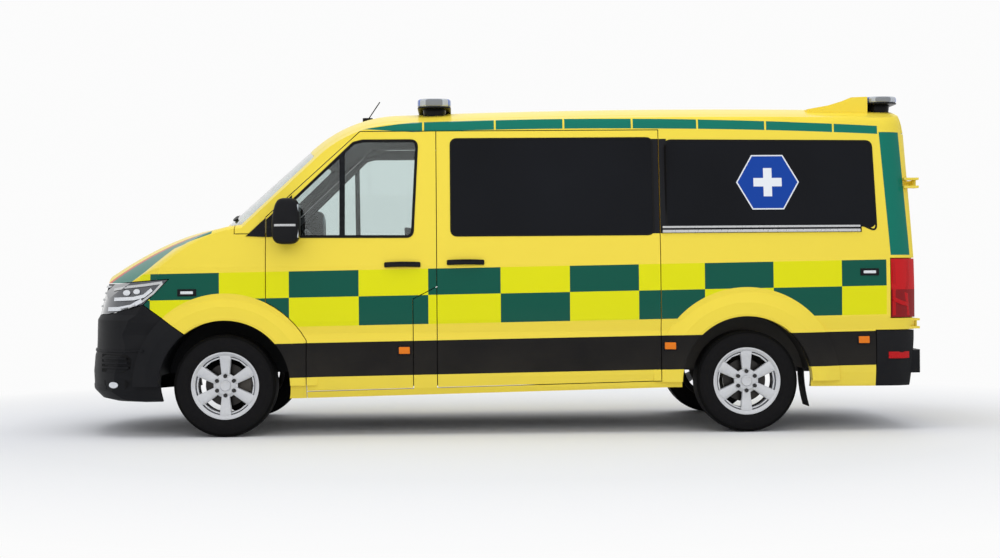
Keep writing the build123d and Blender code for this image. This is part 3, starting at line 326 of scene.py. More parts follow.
def constants(shader, **values):
    """Plain values on the shader's own sockets; an underscore stands for a space."""
    for label, value in values.items():
        shader.inputs[label.replace("_", " ")].default_value = value


def new_material(name, **values):
    """A material with its tree and its Principled BSDF, whose plain values are set."""
    finish = bpy.data.materials.new(name)
    finish.use_nodes = True
    shader = finish.node_tree.nodes["Principled BSDF"]
    constants(shader, **values)
    return finish, finish.node_tree, shader


def mottled(name, dark, light, scale, detail=2.0, **values):
    """A material whose colour wanders between two; returned with tree, shader, place and pattern."""
    finish, tree, shader = new_material(name, **values)
    place, *_ = object_place(tree)
    pattern = noise(tree, place, scale, detail)
    over(linear(*dark), pattern, linear(*light)).feed(shader.inputs["Base Color"])
    return finish, tree, shader, place, pattern


def give(finish, *names):
    """The finish on these CAD nodes."""
    for name in names:
        nodes[name].data.materials.clear()
        nodes[name].data.materials.append(finish)


def add_bump(shader, relief, strength, distance):
    """Fine relief on the shader's normal."""
    node = relief.tree.nodes.new("ShaderNodeBump")
    node.inputs["Strength"].default_value = strength
    node.inputs["Distance"].default_value = distance
    relief.feed(node.inputs["Height"])
    relief.tree.links.new(node.outputs["Normal"], shader.inputs["Normal"])


def outputs_of(tree, group, **values):
    """The fields that a node group gives, with plain values on its inputs."""
    node = tree.nodes.new("ShaderNodeGroup")
    node.node_tree = group
    constants(node, **values)
    return {socket.name: Field(tree, socket) for socket in node.outputs}


paint, tree, shader = new_material("livery_paint", Coat_Roughness=0.06, Specular_IOR_Level=0.12)
pattern = outputs_of(tree, livery)
pattern["Color"].feed(shader.inputs["Base Color"])
(pattern["Plastic"] * 0.24 + 0.3).feed(shader.inputs["Roughness"])
(pattern["Plastic"] * -0.12 + 0.12).feed(shader.inputs["Coat Weight"])
add_bump(shader, pattern["Grain"] * pattern["Plastic"], 0.25, 0.0006)
give(paint, "body_shell", "roof", "bonnet", "sliding_doors", "front_wings", "roof_fairing", "cab_door_left",
     "cab_door_right", "rear_door_left", "rear_door_right")

# ---------------------------------------------------------------------------
# Grained black plastic: bumpers, grille, liners and mirror arms are
# injection moulded with a fine leathery grain that dulls with use.
# ---------------------------------------------------------------------------
grain, grain_in, grain_out = new_group(
    "moulded_grain", [("Scale", 700.0), ("Dust", 0.2)],
    [("Height", "NodeSocketFloat"), ("Roughness", "NodeSocketFloat"), ("Dust", "NodeSocketFloat")])
place, *_ = object_place(grain)
cells = grain.nodes.new("ShaderNodeTexVoronoi")
grain.links.new(place, cells.inputs["Vector"])
grain.links.new(grain_in.outputs["Scale"], cells.inputs["Scale"])
grain.links.new(cells.outputs["Distance"], grain_out.inputs["Height"])
blotches = noise(grain, place, 6.0, 4.0)
(blotches * 0.2 + 0.4).feed(grain_out.inputs["Roughness"])
(blotches * Field(grain, grain_in.outputs["Dust"])).feed(grain_out.inputs["Dust"])


def moulded_plastic(name, color, dust=0.12, scale=700.0):
    """Grained plastic of one colour with a little pale dust."""
    finish, tree, shader = new_material(name, Specular_IOR_Level=0.1)
    pattern = outputs_of(tree, grain, Scale=scale, Dust=dust)
    over(color, pattern["Dust"], linear(120, 118, 112)).feed(shader.inputs["Base Color"])
    pattern["Roughness"].feed(shader.inputs["Roughness"])
    add_bump(shader, pattern["Height"], 0.2, 0.0005)
    return finish


black_plastic = moulded_plastic("black_plastic", linear(16, 17, 21), 0.05)
give(black_plastic, "front_bumper", "rear_bumper", "grille", "wheel_liners", "antenna", "mirror_left",
     "mirror_right", "fuel_tank")
dash_plastic = moulded_plastic("dash_plastic", linear(52, 53, 58), 0.05, 500.0)
give(dash_plastic, "dashboard", "steering_wheel")

# ---------------------------------------------------------------------------
# Underside steel: pressed floor, frame, axle and bulkheads in dark dip
# primer and stone guard, with road film near the ground.
# ---------------------------------------------------------------------------


def rough_metal(name, color, metallic, rough, dirt=0.3):
    """Dull metal with cloudy dirt."""
    finish, tree, shader = new_material(name, Metallic=metallic)
    place, *_ = object_place(tree)
    clouds = noise(tree, place, 9.0, 5.0)
    over(color, clouds * dirt, linear(112, 104, 92)).feed(shader.inputs["Base Color"])
    (clouds * 0.3 + rough).feed(shader.inputs["Roughness"])
    add_bump(shader, noise(tree, place, 260.0), 0.2, 0.001)
    return finish


give(rough_metal("stone_guard", linear(30, 31, 33), 0.0, 0.5), "underbody", "front_subframe", "rear_axle",
     "bulkheads", "panel_clips")
give(rough_metal("cast_iron", linear(96, 92, 88), 0.8, 0.45), "engine_block", "knuckle_left", "knuckle_right")
give(rough_metal("exhaust_steel", linear(150, 146, 140), 0.9, 0.35), "exhaust")
give(rough_metal("hinge_steel", linear(240, 214, 70), 0.0, 0.35, 0.1), "rear_hinges")

# ---------------------------------------------------------------------------
# Glass: tinted clear panes round the cab, near-black privacy panes behind it,
# bonded or let into the openings, with a film badge on the rear side panes.
# ---------------------------------------------------------------------------
clear_glass, *_ = new_material("clear_glass", Base_Color=(0.72, 0.79, 0.78, 1), Roughness=0.0, IOR=1.45,
                               Transmission_Weight=1.0)
give(clear_glass, "windscreen", "cab_glass_left", "cab_glass_right")
dark_glass, tree, shader = new_material("privacy_glass", Specular_IOR_Level=0.1)
place, x, _, z = object_place(tree)
glass_color = over(linear(11, 12, 16), noise(tree, place, 1.2), linear(22, 24, 29))

# a six-sided badge: blue film, a white edge and a plain white cross of equal arms
badge_x = x - (front_axle_x - 3.806)
badge_z = z - 1.751
slant = abs(badge_x) * 0.866 + abs(badge_z) * 0.5
from_badge = slant | abs(badge_z)
arm_long = abs(badge_x) | abs(badge_z)
arm_wide = abs(badge_x).math("MINIMUM", abs(badge_z))
badge = from_badge < 0.193
glass_color = over(glass_color, badge, linear(225, 228, 232))
glass_color = over(glass_color, from_badge < 0.184, linear(20, 65, 155))
glass_color = over(glass_color, (arm_long < 0.100) & (arm_wide < 0.030), linear(232, 235, 238))
glass_color.feed(shader.inputs["Base Color"])
(badge * 0.25 + (noise(tree, place, 5.0) * 0.05 + 0.04)).feed(shader.inputs["Roughness"])
give(dark_glass, "side_windows", "rear_glass_left", "rear_glass_right")

# ---------------------------------------------------------------------------
# Lamp bodies: ribbed red tail lenses in the rear corners, and smoked headlamp
# covers clipped between wing, bonnet and bumper.
# ---------------------------------------------------------------------------
lamp_red, tree, shader = new_material("tail_lens", Roughness=0.12, Specular_IOR_Level=0.15, Coat_Weight=0.15)
*_, z = object_place(tree)
over(linear(198, 8, 18), z < 0.99, linear(136, 3, 11)).feed(shader.inputs["Base Color"])
add_bump(shader, (z * 520.0).math("SINE"), 0.15, 0.001)
give(lamp_red, "tail_lamps")
lamp_clear, *_ = mottled("lamp_lens", (38, 40, 45), (78, 82, 90), 14.0, 3.0, Metallic=0.3, Roughness=0.15,
                         Coat_Weight=1.0)
give(lamp_clear, "headlamps")

# ---------------------------------------------------------------------------
# Seat covers: dark woven cloth, cut in panels, stretched over the foam and
# sewn together along the edges of each cushion.
# ---------------------------------------------------------------------------
seat_cloth, tree, shader, place, weave = mottled("seat_cloth", (34, 35, 40), (62, 63, 70), 320.0, 3.0,
                                                 Roughness=0.9)
add_bump(shader, weave, 0.4, 0.001)
give(seat_cloth, "cab_seats")

# ---------------------------------------------------------------------------
# Wheels: cast alloy rims with painted shade behind the face, and radial tyres
# with a block tread, painted shade in its grooves, and fine rings on the side walls.
# ---------------------------------------------------------------------------
alloy, tree, shader = new_material("cast_alloy", Metallic=0.75)
place, _, y, _ = object_place(tree)
speckle = noise(tree, place, 60.0, 3.0)
color = over(linear(196, 198, 202), speckle, linear(212, 213, 216))
# the alloy behind the face is coloured near-black: painted shade inside the wheel
over(color, abs(y) < 0.900, linear(52, 50, 49)).feed(shader.inputs["Base Color"])
(speckle * 0.12 + 0.26).feed(shader.inputs["Roughness"])
rims = [f"rim_{axle}_{side_name}" for axle in ("front", "rear") for side_name in ("left", "right")]
give(alloy, *rims)
tread_foot_r = 0.334
rubber, tree, shader = new_material("tyre_rubber", Specular_IOR_Level=0.1)
place, x, y, z = object_place(tree)
speckle = noise(tree, place, 40.0, 4.0)
from_x = x - ((x > 0.0) * (front_axle_x - rear_axle_x) + rear_axle_x)
from_z = z - axle_z
radius = (from_x ** 2.0 + from_z ** 2.0).math("SQRT")
from_middle = abs(y) - half_track
turn = from_z.math("ARCTAN2", from_x)
blocks = (turn * 11.46 + abs(from_middle) * 22.0).math("FRACT") < 0.22
grooves = from_middle.math("PINGPONG", 0.026) < 0.0045
groove_and_painted_shade = (radius > tread_foot_r) & (blocks | grooves)
rings = (radius < tread_foot_r) & (radius.math("PINGPONG", 0.016) < 0.0022)
color = over(linear(11, 11, 13), speckle, linear(26, 25, 26))
# the grooves are darker than the rubber: painted shade; the same mask sinks them in the bump
over(color, groove_and_painted_shade, linear(5, 5, 5)).feed(shader.inputs["Base Color"])
(speckle * 0.2 + 0.6).feed(shader.inputs["Roughness"])
add_bump(shader, rings * 0.35 - groove_and_painted_shade, 0.6, 0.004)
give(rubber, *[name.replace("rim", "tyre") for name in rims])

# ---------------------------------------------------------------------------
# Wheel trim: raised faces on the six cast spokes, the wheel bolts between
# them, near-black as painted shade of their holes, and a plain centre cap,
# all fixed to the rim.
# ---------------------------------------------------------------------------


def start_piece():
    """Nothing is selected, so the next operator acts on its own new mesh only."""
    bpy.ops.object.select_all(action="DESELECT")


def pick_faces(piece, test):
    """Edit mode, with those faces selected whose middle and normal pass the test."""
    bpy.ops.object.mode_set(mode="EDIT")
    bpy.ops.mesh.select_mode(type="FACE")
    bpy.ops.mesh.select_all(action="DESELECT")
    bpy.ops.object.mode_set(mode="OBJECT")
    for face in piece.data.polygons:
        face.select = test(face.center, face.normal)
    bpy.ops.object.mode_set(mode="EDIT")


def apply_place(piece):
    """The object's place goes into its mesh."""
    start_piece()
    piece.select_set(True)
    bpy.context.view_layer.objects.active = piece
    bpy.ops.object.transform_apply(location=True, rotation=True, scale=True)


def round_edges(piece, width, segments=2, angle=30):
    """A bevel on the sharp edges, applied."""
    bpy.context.view_layer.objects.active = piece
    rounding = piece.modifiers.new("rounding", "BEVEL")
    rounding.width = width
    rounding.segments = segments
    rounding.limit_method = "ANGLE"
    rounding.angle_limit = math.radians(angle)
    bpy.ops.object.modifier_apply(modifier="rounding")


def fit(piece, name, finish, body):
    """Smooth shading, name, finish and the body that the piece rides on."""
    start_piece()
    piece.select_set(True)
    bpy.context.view_layer.objects.active = piece
    bpy.ops.object.shade_smooth_by_angle(angle=math.radians(35))
    piece.name = name
    piece.data.name = name
    piece.data.materials.clear()
    piece.data.materials.append(finish)
    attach(piece, body)
    return piece


def copy_of(piece, change):
    """A copy with its own mesh, moved or mirrored by a matrix."""
    twin = piece.copy()
    twin.data = piece.data.copy()
    scene.collection.objects.link(twin)
    twin.data.transform(change)
    if change.determinant() < 0:
        twin.data.flip_normals()
    return twin


def joined(pieces):
    """Several meshes as one object."""
    start_piece()
    for piece in pieces:
        piece.select_set(True)
    bpy.context.view_layer.objects.active = pieces[0]
    bpy.ops.object.join()
    return bpy.context.view_layer.objects.active


def block(place, size):
    """A box, from its middle and its size."""
    start_piece()
    bpy.ops.mesh.primitive_cube_add(size=1, location=place)
    piece = bpy.context.object
    piece.scale = size
    apply_place(piece)
    return piece


def divide(cuts):
    """Each face of the new piece cut into smaller ones, so that it can bend."""
    bpy.ops.object.mode_set(mode="EDIT")
    bpy.ops.mesh.select_all(action="SELECT")
    bpy.ops.mesh.subdivide(number_cuts=cuts)
    bpy.ops.object.mode_set(mode="OBJECT")


def thicken(way):
    """The new flat piece becomes a closed solid, pushed along a way."""
    bpy.ops.object.mode_set(mode="EDIT")
    bpy.ops.mesh.select_all(action="SELECT")
    bpy.ops.mesh.extrude_region_move(TRANSFORM_OT_translate={"value": way})
    bpy.ops.mesh.select_all(action="SELECT")
    bpy.ops.mesh.normals_make_consistent(inside=False)
    bpy.ops.object.mode_set(mode="OBJECT")


def step_faces(piece, test, *steps):
    """The picked faces are inset and moved, once for each (inset, way)."""
    pick_faces(piece, test)
    for inset, way in steps:
        bpy.ops.mesh.inset(thickness=inset)
        bpy.ops.transform.translate(value=way)
    bpy.ops.object.mode_set(mode="OBJECT")


def faces_out(middle, normal):
    """True for faces that look outward on the van's left."""
    return normal.y > 0.9


def disc(vertices, radius):
    """A short cylinder along Y."""
    start_piece()
    bpy.ops.mesh.primitive_cylinder_add(vertices=vertices, radius=radius, depth=0.03,
                                        rotation=(math.pi / 2, 0, 0))
    piece = bpy.context.object
    apply_place(piece)
    return piece


to_right = Matrix.Scale(-1, 4, (0, 1, 0))
spoke_count = 6
spoke_length = 0.142
spokes = []
for turn in range(spoke_count):
    spoke = block((0, 0, 0.139), (0.062, 0.016, spoke_length))
    divide(3)
    for vertex in spoke.data.vertices:
        along_spoke = max(0.0, (vertex.co.z - 0.068) / spoke_length)
        vertex.co.x *= 0.9 + 0.42 * along_spoke ** 1.5
        if vertex.co.y > 0:
            vertex.co.y += 0.004 + 0.014 * along_spoke ** 2 - 3.2 * vertex.co.x ** 2
    spoke.data.transform(Matrix.Rotation(math.tau / spoke_count * turn, 4, "Y"))
    round_edges(spoke, 0.003)
    spokes.append(spoke)
wheel_face = joined(spokes)
wheel_face.data.transform(Matrix.Translation((0, half_track + 0.066, 0)))
cap = disc(48, 0.0375)
step_faces(cap, faces_out, (0.006, (0, 0.004, 0)), (0.004, (0, -0.003, 0)))
round_edges(cap, 0.001)
cap.data.transform(Matrix.Translation((0, half_track + 0.078, 0)))
bolts = []
for turn in range(spoke_count):
    bolt = disc(6, 0.015)
    step_faces(bolt, faces_out, (0.003, (0, -0.003, 0)))
    round_edges(bolt, 0.0012)
    bolt.data.transform(Matrix.Rotation(math.tau / spoke_count * turn, 4, "Y")
                        @ Matrix.Translation((0, half_track + 0.078, 0.067)))
    bolts.append(bolt)
bolt_ring = joined(bolts)
# the bolts are coloured near-black: painted shade of the holes they sit in
bolt_steel_painted_shade = rough_metal("bolt_steel_painted_shade", linear(30, 30, 33), 0.3, 0.35, 0.1)
for axle_name, axle_x in (("front", front_axle_x), ("rear", rear_axle_x)):
    for side_name, flip in (("left", Matrix.Identity(4)), ("right", to_right)):
        wheel = f"wheel_{axle_name}_{side_name}"
        here = flip @ Matrix.Translation((axle_x, 0, axle_z))
        for pattern, name, finish, slot in ((wheel_face, "spoke_faces", alloy, "alloy"),
                                            (cap, "centre_cap", alloy, "alloy"),
                                            (bolt_ring, "wheel_bolts", bolt_steel_painted_shade, "bare_steel")):
            fit(copy_of(pattern, here), f"{name}_{axle_name}_{side_name}", finish, wheel)
for pattern in (wheel_face, cap, bolt_ring):
    bpy.data.objects.remove(pattern)

# ---------------------------------------------------------------------------
# Trim on the side of the body: strips, plates and rings are cut flat, then
# laid on the curved wall, so each follows the panel that it is fixed to.
# ---------------------------------------------------------------------------
depsgraph = bpy.context.evaluated_depsgraph_get()


def surface_of(*names):
    """Ray targets made of CAD nodes."""
    return [BVHTree.FromObject(nodes[name], depsgraph) for name in names]


def surface_hit(surface, start, way):
    """The nearest hit of a ray on a surface, or None."""
    hits = [tree.ray_cast(Vector(start), Vector(way)) for tree in surface]
    hits = [found for found in hits if found[0] is not None]
    return min(hits, key=lambda found: found[3])[0] if hits else None


def lay_on(piece, surface, axis="y"):
    """Every point keeps its distance along the axis, counted from the surface below it."""
    last = None
    index = "xyz".index(axis)
    way = Vector((0, 0, 0))
    way[index] = -1
    for vertex in piece.data.vertices:
        start = vertex.co.copy()
        start[index] = 4
        found = surface_hit(surface, start, way)
        last = found[index] if found is not None else last
        if last is not None:
            vertex.co[index] += last
    piece.data.update()


def side_plate(points, low, high):
    """A plate with its outline in side view, (ahead of the front axle, height), from low to high along Y."""
    start_piece()
    bpy.ops.mesh.primitive_circle_add(vertices=len(points), radius=1, fill_type="NGON")
    plate = bpy.context.object
    for vertex, (ahead_of_axle, height) in zip(plate.data.vertices, points):
        vertex.co = (front_axle_x + ahead_of_axle, low, height)
    thicken((0, high - low, 0))
    return plate


def side_box(back, fore, bottom, top, low, high):
    """A long plate, cut across so that it can bend."""
    count = max(2, int((fore - back) / 0.05))
    lower = [(back + (fore - back) * step / count, bottom) for step in range(count + 1)]
    upper = [(x, top) for x, _ in reversed(lower)]
    return side_plate(lower + upper, low, high)


def strip_along(points, width, low, high, step=0.02):
    """A strip of even width along a line in side view, cut across so that it can bend."""
    line = [Vector(points[0])]
    for point in points[1:]:
        run = Vector(point) - line[-1]
        parts = max(1, round(run.length / step))
        start = line[-1].copy()
        line += [start + run * (part + 1) / parts for part in range(parts)]
    start_piece()
    bpy.ops.mesh.primitive_grid_add(x_subdivisions=len(line) - 1, y_subdivisions=2, size=1)
    strip = bpy.context.object
    closed = (line[0] - line[-1]).length < 1e-6
    for vertex in strip.data.vertices:
        index = round((vertex.co.x + 0.5) * (len(line) - 1))
        before = line[index - 1] if index else line[-2] if closed else line[0]
        after = line[index + 1] if index < len(line) - 1 else line[1] if closed else line[-1]
        run = (after - before).normalized()
        across = vertex.co.y * width
        vertex.co = (front_axle_x + line[index].x - run.y * across, low, line[index].y + run.x * across)
    thicken((0, high - low, 0))
    return strip


def ring_along(points, width, low, high):
    """A frame of even width along a closed outline in side view."""
    return strip_along(points + points[:1], width, low, high)


def oval(middle, height, half_length, half_height, count=24):
    """The outline of an oval in side view."""
    turns = [math.tau * step / count for step in range(count)]
    return [(middle + half_length * math.cos(turn), height + half_height * math.sin(turn)) for turn in turns]


def both_walls(piece, name, finish, bodies=("body", "body")):
    """The piece on the left, and its mirror image on the right."""
    twin = copy_of(piece, to_right)
    fit(piece, f"{name}_left", finish, bodies[0])
    fit(twin, f"{name}_right", finish, bodies[1])


def settle(piece, surface, rounding, name, finish, bodies=("body", "body")):
    """The piece laid on a surface, with rounded edges (a width, or a width and segments), on both sides."""
    lay_on(piece, surface)
    if rounding:
        round_edges(piece, *(rounding if isinstance(rounding, tuple) else (rounding,)))
    both_walls(piece, name, finish, bodies)


left_wall = surface_of("body_shell", "sliding_doors", "cab_door_left", "side_windows", "cab_glass_left",
                       "front_wings", "tail_lamps", "rear_bumper", "front_bumper")
door_bodies = ("front_door_left", "front_door_right")
bright_strip, tree, shader, place, _ = mottled("bright_strip", (188, 189, 190), (206, 207, 208), 30.0,
                                               Metallic=0.7)
(noise(tree, place, 80.0) * 0.2 + 0.2).feed(shader.inputs["Roughness"])
gloss_black, tree, shader, place, _ = mottled("gloss_black", (14, 15, 18), (24, 25, 29), 8.0,
                                              Specular_IOR_Level=0.12)
(noise(tree, place, 30.0) * 0.1 + 0.22).feed(shader.inputs["Roughness"])

rail = side_box(-4.462, -3.050, 1.396, 1.452, -0.004, 0.004)
settle(rail, left_wall, 0, "slide_rail_bed", gloss_black)
for name, bottom, top in (("upper", 1.431, 1.446), ("lower", 1.399, 1.419)):
    rail = side_box(-4.453, -3.056, bottom, top, -0.002, 0.012)
    settle(rail, left_wall, 0.003, f"slide_rail_{name}", bright_strip)

# handles: a shallow dish with a bar across it
for name, back, fore, height, bodies in (("cab", -1.363, -1.110, 1.187, door_bodies),
                                         ("slide", -1.807, -1.546, 1.200, ("body", "body"))):
    middle = (back + fore) / 2
    dish = side_plate(oval(middle, height, 0.070, 0.034), -0.006, 0.001)
    settle(dish, left_wall, 0, f"{name}_handle_dish", paint, bodies)
    bar = side_box(back, fore, height - 0.017, height + 0.020, 0.001, 0.032)
    for vertex in bar.data.vertices:
        share = (vertex.co.x - front_axle_x - back) / (fore - back)
        vertex.co.y *= 0.55 + 0.45 * math.sin(math.pi * share)
        vertex.co.z += 0.004 * math.sin(math.pi * share)
    settle(bar, left_wall, (0.010, 3), f"{name}_handle", gloss_black, bodies)

# cab window: rubber frame, the bar in front of the drop glass, and the mirror's foot
rubber_black = moulded_plastic("window_rubber", linear(15, 15, 17), 0.04, 900.0)


def rounded(points, radius, steps=5):
    """The outline with an arc of the given radius at each corner, from the middle of its first side."""
    outline = []
    for index, corner in enumerate(points):
        corner = Vector(corner)
        to_last = Vector(points[index - 1]) - corner
        to_next = Vector(points[(index + 1) % len(points)]) - corner
        half_angle = to_last.angle(to_next) / 2
        reach = min(radius / math.tan(half_angle), to_last.length / 2, to_next.length / 2)
        start, end = corner + to_last.normalized() * reach, corner + to_next.normalized() * reach
        for step in range(steps + 1):
            share = step / steps
            bend = start * (1 - share) ** 2 + corner * 2 * share * (1 - share) + end * share ** 2
            outline.append(tuple(bend))
    middle = (Vector(outline[-1]) + Vector(outline[0])) / 2
    return [tuple(middle)] + outline


window_line = rounded([(-0.340, 1.392), (-0.340, 1.512), (-0.898, 2.045), (-0.960, 2.060), (-1.342, 2.060),
                       (-1.306, 1.385)], 0.045)
seal = ring_along(window_line, 0.020, -0.003, 0.003)
settle(seal, left_wall, 0, "cab_window_seal", rubber_black, door_bodies)
divider = side_plate([(-0.800, 1.390), (-0.800, 1.960), (-0.838, 1.997), (-0.838, 1.390)], -0.004, 0.004)
settle(divider, left_wall, 0, "cab_window_bar", gloss_black, door_bodies)
sail = side_plate([(-0.292, 1.389), (-0.292, 1.512), (-0.470, 1.682), (-0.480, 1.389)], -0.004, 0.005)
settle(sail, left_wall, 0, "mirror_sail", gloss_black, door_bodies)
pillar_patch = side_plate([(-0.150, 1.395), (-0.284, 1.520), (-0.284, 1.389)], -0.004, 0.005)
settle(pillar_patch, left_wall, 0, "pillar_patch", gloss_black)

# privacy glass: a thin black frame round each pane
for name, outline in (
        ("slide", rounded([(-1.578, 1.389), (-1.578, 2.069), (-2.995, 2.069), (-2.995, 1.389)], 0.045)),
        ("quarter", rounded([(-3.085, 1.440), (-3.085, 2.052), (-4.552, 2.040), (-4.568, 1.398),
                             (-4.480, 1.440)], 0.045))):
    frame_strip = ring_along(outline, 0.014, -0.003, 0.002)
    settle(frame_strip, left_wall, 0, f"{name}_glass_frame", rubber_black)

# side lamps: white at the ends, orange along the sill band, in black surrounds
amber_lens, tree, shader = new_material("amber_lens", Roughness=0.15, Specular_IOR_Level=0.15,
                                        Coat_Weight=0.15)
_, x, *_ = object_place(tree)
rib = (x * 900.0).math("SINE")
# the orange is lighter on the rib crests: a painted highlight on the ribs
over(linear(224, 112, 12), rib > 0.4, linear(236, 134, 26)).feed(shader.inputs["Base Color"])
add_bump(shader, rib, 0.2, 0.001)
white_lens, *_ = mottled("white_lens", (206, 209, 212), (236, 238, 240), 90.0, Roughness=0.12,
                         Coat_Weight=1.0)
red_lens, tree, shader = new_material("red_reflector", Roughness=0.1, Specular_IOR_Level=0.15,
                                      Coat_Weight=0.1)
place, *_ = object_place(tree)
prisms = tree.nodes.new("ShaderNodeTexVoronoi")
prisms.inputs["Scale"].default_value = 220.0
tree.links.new(place, prisms.inputs["Vector"])
prism_depth = Field(tree, prisms.outputs["Distance"])
over(linear(160, 4, 12), prism_depth, linear(206, 14, 22)).feed(shader.inputs["Base Color"])
for name, ahead_of_axle, height, half_length, half_height, lens_finish, slot, body in (
        ("front_side_lamp", 0.256, 1.006, 0.058, 0.017, white_lens, "lamp_lens", "body"),
        ("rear_side_lamp", -4.510, 1.114, 0.058, 0.017, white_lens, "lamp_lens", "body"),
        ("door_marker", -1.246, 0.593, 0.038, 0.024, amber_lens, "lamp_lens", "door"),
        ("middle_marker", -3.100, 0.609, 0.038, 0.024, amber_lens, "lamp_lens", "body"),
        ("rear_marker", -4.468, 0.639, 0.038, 0.024, amber_lens, "lamp_lens", "body")):
    bodies = door_bodies if body == "door" else ("body", "body")
    surround = side_box(ahead_of_axle - half_length - 0.008, ahead_of_axle + half_length + 0.008,
                        height - half_height - 0.008, height + half_height + 0.008, -0.004, 0.006)
    settle(surround, left_wall, 0.003, f"{name}_surround", gloss_black, bodies)
    inset = 0.014 if "lamp" in name else 0.0
    cover = side_box(ahead_of_axle - half_length + inset, ahead_of_axle + half_length - inset,
                     height - half_height + inset / 2, height + half_height - inset / 2, 0.002, 0.011)
    settle(cover, left_wall, (0.004, 3), name, lens_finish, bodies)
reflector = side_box(-4.800, -4.642, 0.505, 0.553, -0.004, 0.006)
settle(reflector, left_wall, 0.003, "bumper_reflector", red_lens)

# mud flaps hang behind the rear wheels and curve back towards their feet
top, bottom, inner_y, outer_y = 0.440, 0.176, 0.770, 0.965
flap = block((front_axle_x - 4.040, (inner_y + outer_y) / 2, (top + bottom) / 2),
             (0.008, outer_y - inner_y, top - bottom))
divide(4)
for vertex in flap.data.vertices:
    hang = (top - vertex.co.z) / (top - bottom)
    vertex.co.x -= 0.035 * hang ** 2
    vertex.co.y += 0.010 * hang ** 2
round_edges(flap, 0.002)
both_walls(flap, "rear_mud_flap", rubber_black)

# ---------------------------------------------------------------------------
# Headlamp detail: silver frame strips, two bright light guides and two oval
# projectors, all laid on the smoked cover of each lamp.
# ---------------------------------------------------------------------------
lamp_wall = surface_of("headlamps")
for name, line, width, proud, finish in (
        ("frame_top", [(0.830, 1.030), (0.700, 1.048), (0.550, 1.062), (0.425, 1.078)],
         0.018, 0.010, bright_strip),
        ("frame_rear", [(0.425, 1.074), (0.490, 1.005), (0.580, 0.940), (0.680, 0.906)],
         0.014, 0.010, bright_strip),
        ("guide_upper", [(0.800, 0.962), (0.640, 0.968), (0.560, 0.985), (0.500, 1.030)],
         0.024, 0.012, white_lens),
        ("guide_lower", [(0.850, 0.893), (0.760, 0.895), (0.660, 0.912), (0.575, 0.955)],
         0.028, 0.012, white_lens)):
    guide = strip_along(line, width, -0.006, proud)
    settle(guide, lamp_wall, 0, f"headlamp_{name}", finish)
for name, ahead_of_axle, height, radius in (("high_beam", 0.620, 1.016, 0.018),
                                            ("low_beam", 0.700, 1.008, 0.020)):
    projector = side_plate(oval(ahead_of_axle, height, 1.5 * radius, radius, 18), -0.004, 0.009)
    settle(projector, lamp_wall, 0.002, f"headlamp_{name}", white_lens)

# ---------------------------------------------------------------------------
# The face of the van: bright bars across the black grille, near-black sheets
# for the painted shade in the lower inlet's slots and openings, fog lamps and
# a blank plate, all bent to the bumper's curve.
# ---------------------------------------------------------------------------
nose = surface_of("grille", "front_bumper", "headlamps", "bonnet")


def nose_band(y_from, y_to, bottom, top, low, high, columns=36):
    """A band across the nose, low to high along X; each height is given at its middle and at its ends."""
    start_piece()
    bpy.ops.mesh.primitive_grid_add(x_subdivisions=columns, y_subdivisions=2, size=1)
    band = bpy.context.object
    half = max(abs(y_from), abs(y_to))
    for vertex in band.data.vertices:
        y = y_from + (y_to - y_from) * (vertex.co.x + 0.5)
        share = abs(y) / half
        base = bottom[0] + (bottom[1] - bottom[0]) * share
        rise = top[0] + (top[1] - top[0]) * share - base
        vertex.co = (low, y, base + rise * (vertex.co.y + 0.5))
    thicken((high - low, 0, 0))
    lay_on(band, nose, "x")
    return band


for row, (bottom, top) in enumerate(((0.905, 0.918), (0.952, 0.965), (0.999, 1.012), (1.043, 1.058))):
    bar = nose_band(-0.530, 0.530, (bottom, bottom), (top, top), -0.004, 0.012)
    round_edges(bar, 0.002)
    fit(bar, f"grille_bar_{row + 1}", bright_strip, "body")
# near-black sheets laid in the inlets and round the fog lamp: painted shade of the openings and recesses
painted_shade_black = moulded_plastic("recess_painted_shade", linear(7, 7, 9), 0.03)
for row in range(4):
    bottom = 0.398 + 0.044 * row
    inlet = nose_band(-0.434, 0.434, (bottom, bottom), (bottom + 0.028, bottom + 0.028), -0.004, 0.0001, 16)
    fit(inlet, f"middle_inlet_{row + 1}", painted_shade_black, "body")
lip = nose_band(-0.83, 0.83, (0.318, 0.330), (0.350, 0.360), -0.004, 0.004)
round_edges(lip, 0.004, 3)
fit(lip, "bumper_lip", black_plastic, "body")
ledge = nose_band(-0.86, 0.86, (0.592, 0.592), (0.606, 0.606), -0.004, 0.010)
round_edges(ledge, 0.003)
fit(ledge, "bumper_ledge", black_plastic, "body")
corner = surface_of("front_bumper")
# the corner inlet's near-black sheet under the slats is painted shade of the opening
side_inlet = side_plate([(0.890, 0.455), (0.890, 0.580), (0.690, 0.575), (0.655, 0.545), (0.665, 0.480),
                         (0.720, 0.450)], -0.006, 0.003)
divide(4)
settle(side_inlet, corner, 0, "corner_inlet", painted_shade_black)
for row, height in enumerate((0.486, 0.518, 0.550)):
    slat = strip_along([(0.885, height), (0.672 + row * 0.008, height)], 0.013, -0.002, 0.016)
    settle(slat, corner, 0.003, f"corner_slat_{row + 1}", black_plastic)
brow = strip_along([(0.890, 0.600), (0.700, 0.600), (0.560, 0.606)], 0.014, -0.004, 0.008)
settle(brow, corner, 0.003, "bumper_brow", black_plastic)
